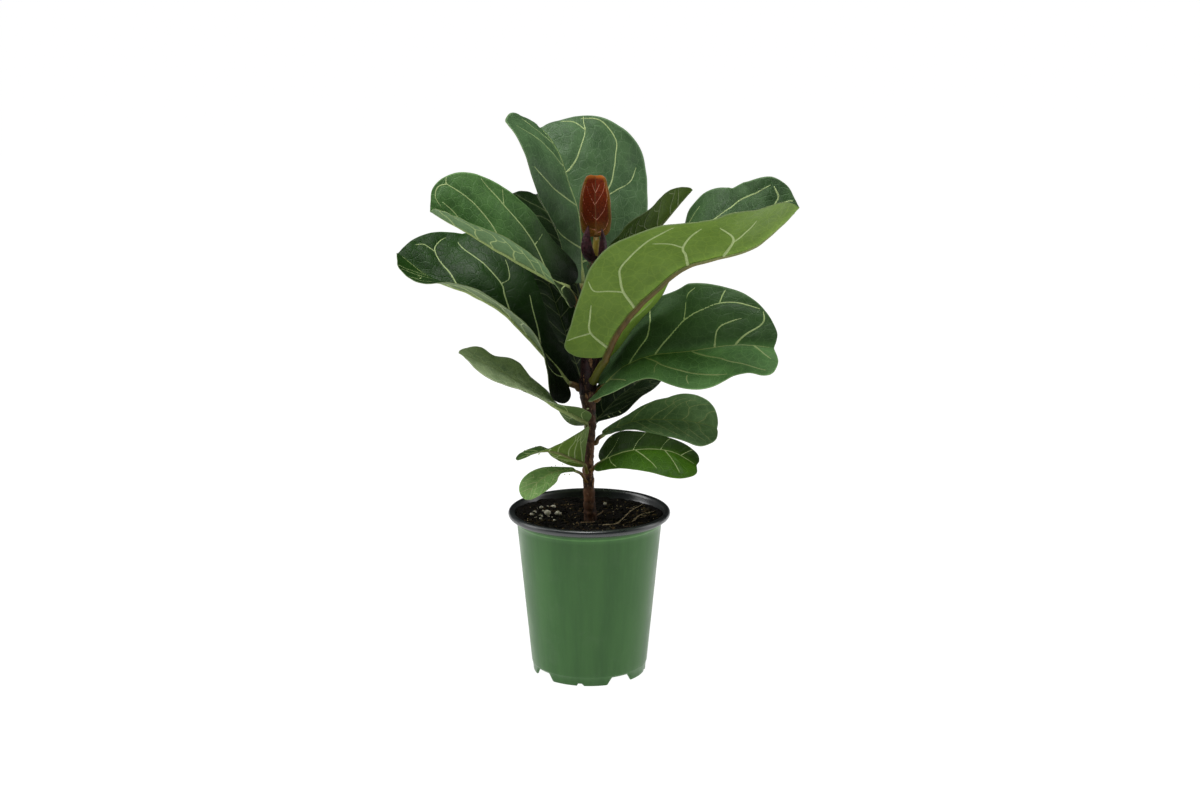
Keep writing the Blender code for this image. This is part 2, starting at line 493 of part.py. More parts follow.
def build_potting_mix(parts, cutters):
    """The mix fills the pot to under the rim and holds the root end of the stem in a socket."""
    floor = FLOOR_Z + WALL + GAP
    corner_z = FLOOR_Z + CORNER_HEIGHT
    profile = [(0, SOIL_Z), (SOIL_FLAT, SOIL_Z),
               (wall_radius(SOIL_EDGE_Z) + NECK_FLARE - WALL - 4 * GAP, SOIL_EDGE_Z),
               (wall_radius(LEDGE_Z) - WALL - 2 * GAP, LEDGE_Z),
               (wall_radius(corner_z) - WALL - 2 * GAP, corner_z + GAP),
               (wall_radius(FLOOR_Z) - WALL - CORNER_INSET - 2 * GAP, floor), (0, floor)]
    mix = add_object("potting_mix", turned_mesh("potting_mix", profile), parts,
                     material("dark_peat", (0.012, 0.009, 0.007), 0.95))
    add_screw(mix, MIX_STEPS)
    root = [row for row in STEM if row[2] <= SOIL_Z / MM]
    points = [(x * MM, y * MM, z * MM) for x, y, z, radius in root]
    radii = [radius * MM + 2 * GAP for x, y, z, radius in root]
    points[0] = (points[0][0], points[0][1], SOCKET_Z)
    points.append((points[-1][0], points[-1][1], SOIL_Z + SOCKET_OVERCUT))
    radii.append(radii[-1])
    socket = add_cutter("root_socket", tube_mesh("root_socket", points, radii, 3), cutters)
    add_boolean(mix, socket, "DIFFERENCE")


def stem_at(height):
    """Centre and radius of the stem at a height, in millimetres."""
    table = np.array(STEM, float)
    return [np.interp(height, table[:, 2], table[:, column]) for column in (0, 1, 3)]


def build_stem(parts):
    points = [(x * MM, y * MM, z * MM) for x, y, z, radius in STEM]
    radii = [radius * MM for x, y, z, radius in STEM]
    bark = material("bark", (0.05, 0.03, 0.018), 0.8)
    add_object("stem", tube_mesh("stem", points, radii, 3), parts, bark)


def petiole_path(leaf):
    """Petiole from the face or the top of the stem to the blade base, millimetres."""
    x, y, radius = stem_at(leaf.attach)
    if leaf.attach == STEM[-1][2]:
        foot = np.array([x, y, leaf.attach + GAP / MM])
        return [foot, foot + np.array([0, 0, PETIOLE_START]), np.array(leaf.petiole, float)]
    out = np.array([leaf.petiole[0] - x, leaf.petiole[1] - y, 0.0])
    out /= np.linalg.norm(out)
    foot = np.array([x, y, leaf.attach]) + out * (radius + GAP / MM + PETIOLE_SEAT)
    return [foot, foot + out * PETIOLE_START, np.array(leaf.petiole, float)]


def rib_tube(leaf, blade):
    """Petiole and midrib as one tapering tube that runs under the blade."""
    points = petiole_path(leaf)
    radii = [leaf.rib * PETIOLE_FOOT, leaf.rib * PETIOLE_MIDDLE, leaf.rib]
    for s in RIB_PLACES:
        radius = leaf.rib * (1 - s) ** RIB_TAPER
        points.append(blade.at(blade.centre, s) - blade.at(blade.up, s) * radius * RIB_DROP)
        radii.append(radius)
    return tube_mesh("rib", [tuple(p * MM) for p in points], [r * MM for r in radii], 1)


def blade_mesh(name, blade, rows, columns):
    made = bmesh.new()
    bmesh.ops.create_grid(made, x_segments=2 * columns, y_segments=rows, size=1)
    for vertex in made.verts:
        u = min(max((vertex.co.y + 1) / 2, 0), 1)
        vertex.co = Vector(blade.spread(u, vertex.co.x) * MM)
    bmesh.ops.remove_doubles(made, verts=made.verts, dist=WELD)
    mesh = bpy.data.meshes.new(name)
    made.to_mesh(mesh)
    made.free()
    mesh.shade_smooth()
    return mesh


def soil_height(x, y):
    """Height of the mix at a place, everything in millimetres."""
    edge = (wall_radius(SOIL_EDGE_Z) - WALL) / MM
    share = min(max((math.hypot(x, y) - SOIL_FLAT / MM) / (edge - SOIL_FLAT / MM), 0), 1)
    return (SOIL_Z + (SOIL_EDGE_Z - SOIL_Z) * share) / MM


def build_perlite(name, x, y, radius, parts, look):
    """A lump of perlite, a ball pushed out of round."""
    made = bmesh.new()
    bmesh.ops.create_icosphere(made, subdivisions=2, radius=radius * MM)
    for vertex in made.verts:
        place = vertex.co / MM
        bump = math.sin(place.x * 1.7 + x) * math.sin(place.y * 1.9 + y) * math.sin(place.z * 2.1 + radius)
        vertex.co *= 1 + PERLITE_BUMP * bump
        vertex.co.z *= PERLITE_FLATTENING
    low = min(vertex.co.z for vertex in made.verts)
    lift = Vector((x * MM, y * MM, (soil_height(x, y) + PERLITE_REST) * MM - low))
    bmesh.ops.translate(made, verts=made.verts, vec=lift)
    mesh = bpy.data.meshes.new(name)
    made.to_mesh(mesh)
    made.free()
    mesh.shade_smooth()
    add_object(name, mesh, parts, look)


def build_strand(name, path, radius, parts, look):
    """A thin strand that lies along the top of the mix."""
    points = spline(path, np.linspace(0, 1, STRAND_KNOTS))
    places = [(x * MM, y * MM, (soil_height(x, y) + radius + STRAND_REST) * MM) for x, y in points]
    radii = [radius * MM * (1 - STRAND_TAPER * k / (STRAND_KNOTS - 1)) for k in range(STRAND_KNOTS)]
    add_object(name, tube_mesh(name, places, radii, 1), parts, look)


def add_solidify(target, thickness):
    shell = target.modifiers.new("Thickness", "SOLIDIFY")
    shell.thickness = thickness
    shell.offset = 0


def build_leaf(name, leaf, parts, cutters, look):
    blade = Blade(leaf)
    made = add_object(name, blade_mesh(name, blade, BLADE_ROWS, BLADE_COLUMNS), parts, look)
    add_solidify(made, BLADE_THICKNESS)
    rib = add_cutter(f"{name}_rib", rib_tube(leaf, blade), cutters)
    add_boolean(made, rib, "UNION")


def build_stipule(name, midrib, facing, half_width, parts, look):
    leaf = Leaf(0, (), midrib, (facing, facing), half_width, (LANCE, LANCE), ((8, 8), (8, 8)),
                curl=((26, 26), (26, 26)), wave=((0, 1, 0), (0, 1, 0)))
    made = add_object(name, blade_mesh(name, Blade(leaf), SCALE_ROWS, SCALE_COLUMNS), parts, look)
    add_solidify(made, BLADE_THICKNESS)


def clear_scene():
    for thing in list(bpy.data.objects):
        bpy.data.objects.remove(thing)


def new_collection(name):
    made = bpy.data.collections.new(name)
    bpy.context.scene.collection.children.link(made)
    return made


def main():
    clear_scene()
    parts = new_collection("potted_fiddle_leaf_fig")
    cutters = new_collection("cutters")
    build_pot(parts, cutters)
    build_potting_mix(parts, cutters)
    build_stem(parts)
    leaf_green = material("leaf_green", (0.03, 0.09, 0.03), 0.35)
    young_rust = material("young_rust", (0.22, 0.035, 0.015), 0.45)
    for name, leaf in LEAVES.items():
        build_leaf(name, leaf, parts, cutters, young_rust if name == "young_leaf" else leaf_green)
    maroon = material("stipule_maroon", (0.05, 0.012, 0.015), 0.5)
    for name, (midrib, facing, half_width) in STIPULES.items():
        build_stipule(name, midrib, facing, half_width, parts, maroon)
    white = material("perlite_white", (0.75, 0.73, 0.68), 0.9)
    for number, (x, y, radius) in enumerate(PERLITE, 1):
        build_perlite(f"perlite_{number}", x, y, radius, parts, white)
    woody = material("dry_wood", (0.16, 0.09, 0.045), 0.85)
    for number, path in enumerate(TWIGS, 1):
        build_strand(f"twig_{number}", path, TWIG_RADIUS, parts, woody)
    for number, path in enumerate(SURFACE_ROOTS, 1):
        build_strand(f"surface_root_{number}", path, ROOT_RADIUS, parts, woody)


main()
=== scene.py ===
"""Looks for the potted fiddle leaf fig: a young plant with veined leathery leaves in a nursery pot.

Lengths are millimetres and angles in the tables are degrees, all in the frame of the CAD model. Materials
read heights in metres, as Blender does.
"""
import math
from dataclasses import dataclass

import bmesh
import bpy
import numpy as np
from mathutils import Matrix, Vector, noise


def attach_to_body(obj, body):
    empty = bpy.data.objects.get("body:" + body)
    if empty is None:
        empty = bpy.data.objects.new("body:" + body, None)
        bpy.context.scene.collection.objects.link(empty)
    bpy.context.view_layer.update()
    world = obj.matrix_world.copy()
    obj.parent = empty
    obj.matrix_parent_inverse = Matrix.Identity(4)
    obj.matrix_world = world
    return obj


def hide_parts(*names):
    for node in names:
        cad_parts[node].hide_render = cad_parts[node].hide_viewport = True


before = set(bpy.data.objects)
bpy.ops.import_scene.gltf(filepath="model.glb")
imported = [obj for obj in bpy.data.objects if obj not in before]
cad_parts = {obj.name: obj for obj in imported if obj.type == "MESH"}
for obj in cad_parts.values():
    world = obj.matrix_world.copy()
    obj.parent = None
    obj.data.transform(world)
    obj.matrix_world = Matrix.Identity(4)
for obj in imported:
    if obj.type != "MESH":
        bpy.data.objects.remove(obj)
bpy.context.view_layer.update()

MM = 0.001
# Centre line of the stem from its foot up: x, y, height, radius
STEM = ((2, 0, 124, 6.0), (2, 0, 130, 6.4), (2, 0, 138, 6.5), (1, 0, 146, 5.9), (0, 0, 165, 5.1),
        (-1, 0, 190, 4.8), (0, 0, 210, 4.6), (1, 0, 228, 4.8), (0, 0, 246, 5.8), (-1, 0, 261, 7.4),
        (0, 0, 284, 7.9), (2, 1, 302, 7.2), (3, 2, 320, 6.3), (4, 3, 342, 5.5), (5, 3, 362, 4.9),
        (6, 3, 389, 4.2))
OLD_SCARS = (150, 158, 170, 203, 290, 309, 339, 355, 372)    # heights on the stem
# Height of the mix round the stem, radius of its level middle, radius at the wall of the pot
SOIL_Z, SOIL_FLAT, SOIL_RIM = 142.5, 34.0, 67.6
# Radius of the foot ring, and radius and height of the middle of the rolled lip
FOOT_RADIUS, LIP_RADIUS, LIP_Z = 52.1, 71.6, 150.4
NOTCH_ANGLES = (-54, 33, 126, 213)    # wide notches in the foot, each with a drain hole inside it


def outline(*points):
    """One side of a blade from its base to its tip, given in percent of the length and of the half width."""
    return ((0, 0), *((along / 100, out / 100) for along, out in points), (1, 0))


PADDLE = outline((0, 12), (4, 20), (15, 23), (27, 32), (38, 50), (50, 76), (62, 95), (75, 102),
                 (86, 94), (94, 72), (98.5, 38), (100, 12))
CUPPED = outline((0, 12), (4, 20), (15, 24), (26, 30), (34, 42), (41, 66), (49, 90), (60, 100),
                 (72, 100), (84, 84), (94, 56), (99, 26), (100, 10))
SQUARED = outline((-2, 20), (-2.5, 44), (1, 64), (8, 70), (18, 66), (30, 62), (45, 72), (58, 90),
                  (71, 100), (83, 92), (92, 68), (97.5, 36), (100, 10))
SKIRTED = outline((-4, 12), (-5.5, 26), (-4.5, 40), (0, 52), (8, 60), (20, 63), (32, 62), (45, 72),
                  (58, 90), (71, 100), (83, 92), (92, 68), (97.5, 36), (100, 10))
BROAD = outline((-3, 14), (-3, 32), (3, 52), (12, 66), (24, 74), (36, 80), (48, 88), (60, 96),
                (72, 100), (84, 95), (93, 76), (98.5, 46), (100, 18))
NOTCHED = outline((-3, 14), (-3, 32), (3, 50), (12, 60), (24, 66), (36, 74), (48, 86), (60, 96),
                  (72, 100), (84, 96), (95, 80), (102, 55), (104.5, 30), (102, 10))
OVATE = outline((-6, 20), (-8, 45), (-2, 75), (10, 92), (25, 96), (40, 84), (55, 60), (70, 42),
                (82, 44), (92, 38), (98, 22), (100, 8))
WAISTED = outline((-3.5, 12), (-4, 26), (0, 40), (8, 52), (20, 62), (32, 72), (45, 84), (58, 94),
                  (71, 94), (84, 86), (95, 73), (102, 53), (104.5, 30), (102, 10))
PEAKED = outline((0, 12), (4, 22), (12, 28), (22, 35), (32, 48), (42, 69), (50, 85), (60, 99),
                 (70, 110), (80, 113), (90, 102), (96, 87), (100, 69), (100, 40), (100, 18))
TAPERED = outline((2, 25), (5, 50), (9, 75), (14, 93), (20, 98), (28, 88), (38, 68), (50, 45), (64, 27),
                  (75, 20), (86, 24), (95, 24), (100, 14))
TUCKED = outline((-2, 16), (-1, 36), (5, 55), (12, 68), (22, 75), (32, 72), (45, 60), (60, 48),
                 (75, 41), (88, 37), (96, 30), (100, 15))
DIPPED = outline((0, 8), (5, 14), (15, 20), (26, 30), (35, 50), (45, 70), (57, 80), (68, 95), (78, 100),
                 (88, 90), (95, 66), (98.5, 36), (100, 12))
BROADEST = outline((0, 10), (5, 22), (15, 34), (28, 50), (40, 68), (52, 86), (64, 97), (75, 103),
                   (86, 104), (94, 90), (100, 62), (101, 30), (100, 10))
SLIM = outline((0, 20), (3, 34), (10, 40), (20, 44), (32, 56), (45, 74), (58, 92), (71, 100), (83, 92),
               (92, 68), (97.5, 36), (100, 10))
CROWNED = outline((-5, 12), (-6, 32), (2, 56), (14, 74), (26, 86), (38, 97), (50, 106), (60, 105),
                  (70, 100), (80, 88), (90, 66), (97, 44), (101, 24), (101, 10))
LOBED = outline((-9, 12), (-11.5, 30), (-8.5, 48), (-3, 60), (4, 67), (13, 69), (22, 69), (31, 70),
                (40, 77), (50, 86), (62, 91), (72, 92), (80, 85), (88, 74), (96, 71), (101, 60),
                (103, 35), (101, 12))
ROUND = outline((-3, 14), (-2, 34), (6, 54), (18, 72), (32, 88), (45, 98), (58, 109), (70, 112),
                (80, 101), (88, 80), (94, 54), (98, 28), (100, 10))
BLUNT = outline((-3.5, 12), (-4, 28), (0, 44), (8, 60), (20, 74), (32, 84), (45, 94), (58, 100),
                (70, 101), (80, 96), (88, 89), (95, 75), (100, 56), (102, 32), (101, 12))
SHOULDERED = outline((-3, 16), (-4.5, 38), (-2, 57), (4, 62), (10, 65), (19, 77), (30, 93), (41, 100),
                     (52, 96), (64, 97), (75, 104), (84, 102), (92, 86), (98, 52), (100, 20))
PINCHED = outline((-3.5, 12), (-4, 24), (0, 32), (8, 35), (18, 34), (27, 40), (36, 56), (45, 78),
                  (54, 94), (66, 103), (78, 103), (88, 92), (95, 70), (99, 38), (100, 14))
BOAT = outline((0, 15), (2, 40), (7, 68), (15, 88), (27, 97), (40, 96), (55, 90), (70, 82), (84, 68),
               (93, 46), (98, 22), (100, 8))
HOODED = outline((-2, 30), (0, 58), (6, 78), (16, 88), (30, 97), (45, 100), (58, 97), (72, 88),
                 (86, 73), (96, 60), (100, 44), (101, 24), (100, 10))
LANCE = outline((0, 35), (4, 72), (16, 95), (32, 100), (50, 88), (68, 62), (84, 36), (95, 16), (100, 5))

# Leaf colours: two for upper faces, three for lower ones; the darker upper one is painted shade, the
# brightest lower one painted light, and the olive one painted light shining through a leaf
SHADED, MID = (0.006, 0.018, 0.003), (0.052, 0.112, 0.028)
UNDER, UNDER_LIT, BACKLIT_OLIVE = (0.085, 0.150, 0.038), (0.115, 0.200, 0.028), (0.050, 0.100, 0.002)
# Curls and waves that several leaves share
DROOPING = ((-8, -8), (-15, -25))
CALM, GENTLE = ((0, 2, 0), (0, 2, 0)), ((1, 2, 0), (1, 2, 0))


@dataclass
class Leaf:
    """One leaf. Left and right are as seen from above, looking from the leaf base to the tip."""

    attach: float               # height on the stem where the petiole starts
    petiole: tuple              # point between the stem and the blade
    midrib: tuple               # points from the blade base to the tip
    facing: tuple               # directions the upper face turns to, base to tip
    half_width: float
    outline: tuple              # left and right outline
    fold: tuple                 # left and right rise of the blade beside the midrib, base to tip
    curl: tuple = ((-10, -10), (-10, -16))      # left and right bend across the blade, base to tip
    wave: tuple = ((2, 2, 0.1), (2, 2, 0.5))    # left and right waves: height, number, phase
    wide: tuple = (1, 1)        # left and right share of the half width
    rib: float = 2.6            # radius of the petiole at the blade base
    top: tuple = MID            # colour of the upper face
    under: tuple = UNDER
    brown: float = 0.0          # how brown the midrib is below
    bold: float = 1.0           # how wide the veins are
    pale: float = 1.0           # how bright the veins are; the low values of leaves deep in shade are painted shade
    painted_stem_shade: float = 0.3            # painted shade: how much darker the upper face gets towards the stem
    top_painted_light: tuple = (1, 1)   # painted light and shade: brightness of the left and right halves of the upper face
    # painted light and shade: brightness of the left and right halves of the lower face
    under_painted_light: tuple = (1, 1)
    # main veins that stand out, each with its side and its points in percent of the length and of the
    # half width; a side without any gets usual ones
    veins: tuple = ()


LEAVES = {
    "leaf_01": Leaf(
        attach=181, petiole=(-7, -17, 191),
        midrib=((-13, -23, 197), (-29, -35, 198.5), (-40, -43, 195), (-50, -50, 187.5), (-58, -53, 178)),
        facing=((0, -0.5, 0.7), (-0.3, -0.5, 0.5)), half_width=14, outline=(CUPPED, PADDLE),
        fold=((10, 10), (10, 10)), wave=CALM, rib=1.1, top=(0.165, 0.320, 0.090), painted_stem_shade=0.15),
    "leaf_02": Leaf(
        attach=190, petiole=(-3, -11, 195),
        midrib=((-5, -17, 201), (-19, -27, 210), (-34, -38, 219), (-49, -50, 220), (-64, -58, 216)),
        facing=((-0.75, 0.62, -0.1), (-0.62, 0.6, 0.4), (-0.15, 0.22, 1), (0, 0.03, 1)), half_width=36,
        outline=(TAPERED, OVATE), fold=((0, 5), (80, 10)), wave=CALM, wide=(0.92, 0.46), rib=1.4,
        under=UNDER_LIT, brown=0.6),
    "leaf_03": Leaf(
        attach=192, petiole=(7, -12, 198),
        midrib=((10, -20, 204), (31, -38, 217), (54, -50, 223), (76, -60, 222), (95, -68, 213)),
        facing=((0, -0.6, 0.7), (0.1, -0.6, 0.6)), half_width=28, outline=(TUCKED, NOTCHED),
        fold=((20, 20), (12, 12)), curl=((-8, -8), (-15, -20)), wave=GENTLE, rib=1.5,
        top=(0.024, 0.070, 0.003), top_painted_light=(0.62, 1.8),
        veins=((-1, ((6, 0), (17, 24), (24, 55))), (-1, ((39, 0), (43, 25), (49, 50), (55, 75))),
               (-1, ((65, 0), (69, 33), (76, 62))), (-1, ((84, 0), (88, 25), (93, 45))),
               (1, ((12, 0), (18, 30), (27, 60))), (1, ((41, 0), (50, 25), (63, 60), (70, 80))),
               (1, ((69, 0), (78, 25), (93, 60))))),
    # leaf_04's light upper colour is partly its own and partly painted sheen
    "leaf_04": Leaf(
        attach=216, petiole=(8, -1, 220),
        midrib=((12, -4, 226), (39, -8, 238), (64, -12, 241), (91, -14, 240), (116, -15, 234)),
        facing=((0, -0.35, 0.8), (0.1, -0.4, 0.85)), half_width=33, outline=(DIPPED, BROADEST),
        fold=((14, 14), (16, 10)), curl=DROOPING, wave=GENTLE, wide=(1, 0.92), rib=1.6,
        top=(0.145, 0.270, 0.105), painted_stem_shade=0.1),
    # leaf_05's pale grey-green upper colour is painted sheen
    "leaf_05": Leaf(
        attach=232, petiole=(-2.5, -10, 233),
        midrib=((-2, -14, 239), (-31, -25, 258), (-53, -29, 273.5), (-84, -33, 293), (-115, -35, 307.5)),
        facing=((0.2, 0.8, 0.6), (0.2, -0.1, 0.95), (0.2, -0.2, 0.95), (0.2, -0.05, 0.95)),
        half_width=31, outline=(SLIM, SQUARED), fold=((20, 10), (20, 12)),
        curl=((-20, -20), (-20, -20)), wave=((2, 2, 0.1), (3, 3, 0.5)), rib=1.8,
        top=(0.400, 0.530, 0.290), painted_stem_shade=0.2, bold=0.7),
    "leaf_06": Leaf(
        attach=240, petiole=(3, 13, 234),
        midrib=((5, 22, 231), (24, 44, 246), (43, 65, 257), (62, 83, 270), (78, 98, 279)),
        facing=((-0.2, -0.4, 0.8), (-0.1, -0.4, 0.85)), half_width=32, outline=(BROAD, BOAT),
        fold=((20, 20), (20, 20)), curl=DROOPING, wide=(1, 0.82), rib=1.8, top=SHADED, pale=0.25),
    "leaf_07": Leaf(
        attach=258, petiole=(9, -4, 265),
        midrib=((15, -6, 274), (33, -10, 291), (60, -16, 302), (91, -24, 307), (128, -31, 314),
                (164, -35, 312)),
        facing=((-0.6, -0.2, 0.75), (0, -0.57, 0.8), (0, -0.57, 0.8), (0, -0.57, 0.8)), half_width=59,
        outline=(CROWNED, LOBED), fold=((8, 24, 28, 24), (16, 12)), curl=((-8, -8), (-20, -20)),
        wave=((2, 2, 0.1), (6, 2, -0.41)), wide=(1, 0.9), top=(0.042, 0.096, 0.030),
        top_painted_light=(1, 3.0), bold=1.3, pale=1.15,
        veins=((-1, ((33, 0), (40, 22), (50, 49), (63, 61), (72, 68), (80, 68), (90, 60))),
               (-1, ((50, 49), (51, 68), (53, 88), (60, 98))), (-1, ((72, 68), (73.5, 82), (75, 92))),
               (-1, ((78.5, 0), (84.5, 17), (91, 32), (93, 43), (92, 56))),
               (-1, ((67, 0), (70, 26), (77, 37), (81.5, 42))),
               (-1, ((17, 0), (24, 16), (30, 32), (32.5, 58), (33, 85))),
               (1, ((27, 0), (34, 20), (41, 38), (54.5, 55), (68, 70), (75, 76))),
               (1, ((54, 0), (60, 15), (70, 33), (77, 47), (90, 56), (97, 58))),
               (1, ((36, 25), (34.5, 40), (35, 55))), (1, ((54, 55), (53, 66), (54, 78))),
               (1, ((89, 0), (95, 20), (99, 30))), (1, ((3, 0), (8, 30), (16, 55))))),
    "leaf_08": Leaf(
        attach=267, petiole=(-11, -1, 269),
        midrib=((-18, -3, 274), (-38, -4, 300), (-71, 0, 334), (-107, 6, 355), (-142, 12, 367),
                (-172, 18, 389)),
        facing=((0.4, -0.3, 0.8), (0.2, -0.35, 0.85), (0.1, -0.35, 0.85)), half_width=60,
        outline=(SKIRTED, PINCHED), fold=((-16, 46, 44, 34, 27), (10, 36, 32, 18)),
        curl=((-10, -10), (-10, -20)), top=(0.014, 0.050, 0.006), painted_stem_shade=0.9, top_painted_light=(0.8, 0.9),
        veins=((1, ((68, 0), (75, 22), (88, 42), (90, 62), (89, 75))),
               (1, ((40, 0), (48, 22), (52, 36), (62, 53), (70, 66), (79, 80))),
               (1, ((52, 36), (50.5, 50), (53, 66), (56, 78))), (1, ((88, 42), (94, 40), (97, 30))),
               (1, ((20, 0), (27, 16), (35, 32), (40, 46))))),
    "leaf_09": Leaf(
        attach=276, petiole=(7, -12, 283),
        midrib=((14, -22, 302), (28, -36, 332), (58, -54, 369), (87, -68, 392), (131, -82, 406),
                (157, -87, 423), (177, -90, 444)),
        facing=((-0.5, 0.75, 0.4), (-0.35, 0.45, 0.7), (-0.2, 0, 0.95)), half_width=64,
        outline=(BLUNT, SHOULDERED), fold=((29, 24, 37, 73, 64, 60), (30, 30, 30)), wide=(1.05, 1),
        rib=3.2, under_painted_light=(1.9, 1), top=(0.040, 0.090, 0.030), under=UNDER_LIT, brown=1.0,
        bold=1.35,
        veins=((1, ((4, 0), (8.5, 33), (14, 46), (18, 55))), (1, ((8.5, 33), (5, 50), (2, 60))),
               (1, ((25, 0), (28.5, 30), (33, 50), (36.5, 62), (42.5, 67), (47.5, 72), (54, 80), (58, 88))),
               (1, ((28.5, 30), (25.5, 50), (23.5, 66), (26, 83))),
               (1, ((53, 0), (55, 20), (56, 37), (61.5, 62), (66, 78))),
               (1, ((56, 37), (53, 55), (50, 66))), (1, ((67, 0), (73.5, 27), (75, 45), (73.5, 75))),
               (1, ((73.5, 27), (80, 38), (87, 52))),
               (-1, ((45, 0), (55, 35), (66, 60), (75, 70), (83, 70), (93, 58), (98, 50))),
               (-1, ((30, 0), (40, 30), (50, 62), (52, 72), (58, 86))),
               (-1, ((85, 0), (93, 25), (97, 30), (98.5, 45))), (-1, ((93, 25), (98, 17), (100, 10))),
               (-1, ((10, 0), (17, 25), (25, 50))))),
    "leaf_10": Leaf(
        attach=262, petiole=(-3, 14, 264),
        midrib=((-6, 25, 268), (-19, 57, 299), (-33, 90, 333), (-45, 118, 360)),
        facing=((0.3, -0.7, 0.6), (0.3, -0.7, 0.65)), half_width=46, outline=(BROAD, BROAD),
        fold=((22, 22), (22, 22)), curl=DROOPING, top=SHADED, pale=0.25),
    "leaf_11": Leaf(
        attach=318, petiole=(-6, 22, 331),
        midrib=((-8, 34, 342), (-18, 66, 371), (-33, 100, 401), (-51, 131, 429)),
        facing=((0.3, -0.7, 0.6), (0.3, -0.7, 0.65)), half_width=50, outline=(BROAD, BROAD),
        fold=((22, 22), (22, 22)), curl=DROOPING, top=SHADED, pale=0.25),
    "leaf_12": Leaf(
        attach=330, petiole=(-10, -8, 344),
        midrib=((-17, -15, 363), (-43, -30, 379), (-73, -42, 398), (-103, -50, 417), (-136, -56, 436)),
        facing=((0.2, -0.4, 0.9), (0.1, -0.4, 0.9)), half_width=57, outline=(BROAD, WAISTED),
        fold=((-14, 42, 45, 42), (38, 42, 44)), curl=((-10, -10), (-14, -20)), wide=(1, 1.03),
        top=(0.086, 0.200, 0.056), painted_stem_shade=0.95, top_painted_light=(1, 0.75), under=(0.12, 0.21, 0.09),
        veins=((1, ((50, 0), (61, 24), (77, 41), (90, 47), (98, 49), (100, 60))),
               (1, ((15, 0), (24, 20), (32, 35), (45, 52), (61, 68), (82, 86))),
               (1, ((61, 68), (64, 82), (66, 93))), (1, ((32, 35), (30, 48), (29, 58))),
               (1, ((98, 49), (102, 38), (101, 22), (95, 12))), (1, ((77, 0), (86, 14), (96, 20))))),
    "leaf_13": Leaf(
        attach=348, petiole=(-3, 18, 353),
        midrib=((-5, 24, 360), (-8, 38, 414), (-20, 54, 457), (-31, 68, 481), (-44, 80, 497)),
        facing=((0.4, -0.85, 0.2), (0.35, -0.85, 0.3)), half_width=74, outline=(PEAKED, ROUND),
        fold=((10, 34, 53, 53), (2, 4)), curl=((-10, -14), (-10, -14)),
        wave=((3, 2, 0.1), (3, 2, 0.5)), wide=(1.08, 1), top=(0.058, 0.120, 0.048), painted_stem_shade=0.1,
        veins=((1, ((66, 0), (72.5, 17), (80, 31), (87, 46))), (1, ((87, 46), (93, 38), (97, 25))),
               (1, ((87, 46), (92, 52), (95, 60))),
               (1, ((38, 0), (46, 30), (55.5, 55), (71.5, 73), (79, 80), (88, 72), (93, 50))),
               (1, ((46, 30), (50, 55), (54, 81), (62, 97))),
               (1, ((12, 0), (18, 30), (26, 60), (36, 82))),
               (-1, ((70, 0), (76, 30), (85, 63), (90, 80))),
               (-1, ((45, 0), (51, 35), (58.5, 75), (62, 90))), (-1, ((20, 0), (27, 35), (36, 55))),
               (-1, ((86, 0), (92, 25), (98, 50))))),
    "leaf_14": Leaf(
        attach=362, petiole=(13, 9, 368),
        midrib=((19, 15, 377), (46, 22, 394), (66, 28, 415), (81, 32, 431), (93, 34, 444)),
        facing=((-0.4, 0.2, 0.9), (-0.3, 0.2, 0.9)), half_width=35, outline=(BOAT, BOAT),
        fold=((50, 50), (60, 50)), curl=DROOPING, wide=(0.7, 0.8), rib=2.0, under=BACKLIT_OLIVE, pale=0.5),
    "young_leaf": Leaf(
        attach=389, petiole=(6.5, 4.5, 399),
        midrib=((6.5, 5, 406), (6, 7, 422), (5.5, 9, 440), (6, 10, 459)),
        facing=((0, -0.95, 0.1), (0, -0.95, 0.1)), half_width=16.5, outline=(HOODED, HOODED),
        fold=((12, 18, 16), (12, 18, 16)), curl=((26, 32), (26, 32)), wave=CALM, rib=2.8,
        veins=((-1, ((50, 0), (57, 14), (70, 36), (84, 52))),
               (-1, ((27, 0), (33, 18), (52, 62), (68, 76), (85, 62))),
               (-1, ((8, 0), (14, 40), (31, 76), (40, 88))), (-1, ((72, 0), (79, 10), (88, 20))),
               (1, ((52, 0), (58, 15), (74, 48), (90, 58))),
               (1, ((25, 0), (30, 18), (44, 56), (65, 76), (84, 66))),
               (1, ((4, 0), (9, 45), (18, 66), (28, 80))), (1, ((70, 0), (77, 12), (86, 24))))),
}
# The two scales at the tip: midrib, facing, half width
STIPULES = {
    "stipule_left": (((3, -3.5, 384), (-1.5, -6.5, 392), (-2.5, -6.5, 403), (-0.5, -3.5, 416)),
                     (0.3, 0.95, 0.1), 6.0),
    "stipule_right": (((11, -2.5, 385), (13, -4, 392), (13, -3.5, 402), (11.5, -2.5, 413)),
                      (-0.5, 0.85, 0.1), 4.6),
}
# Scales on the stem: height, direction, length, half width, lean of the tip
SHEATHS = ((262, 215, 15, 4.5, 1.5), (266, 300, 18, 5.0, 1.0), (272, 120, 14, 4.5, 1.5),
           (278, 250, 17, 5.0, 2.0), (285, 335, 16, 4.5, 1.5), (292, 205, 17, 4.5, 2.0),
           (300, 275, 18, 5.0, 1.5), (308, 160, 16, 4.5, 2.0), (316, 320, 15, 4.2, 1.5),
           (330, 240, 18, 4.0, 1.5), (348, 200, 17, 3.8, 1.5), (352, 300, 20, 4.0, 1.5))
# Grains on the mix: x, y, radius
PERLITE = ((-39, 13, 3.4), (-29.5, 15, 3.0), (-45, 27, 2.1), (-33.5, 34, 2.2), (-53, 1, 2.2), (14.6, 46, 1.8))
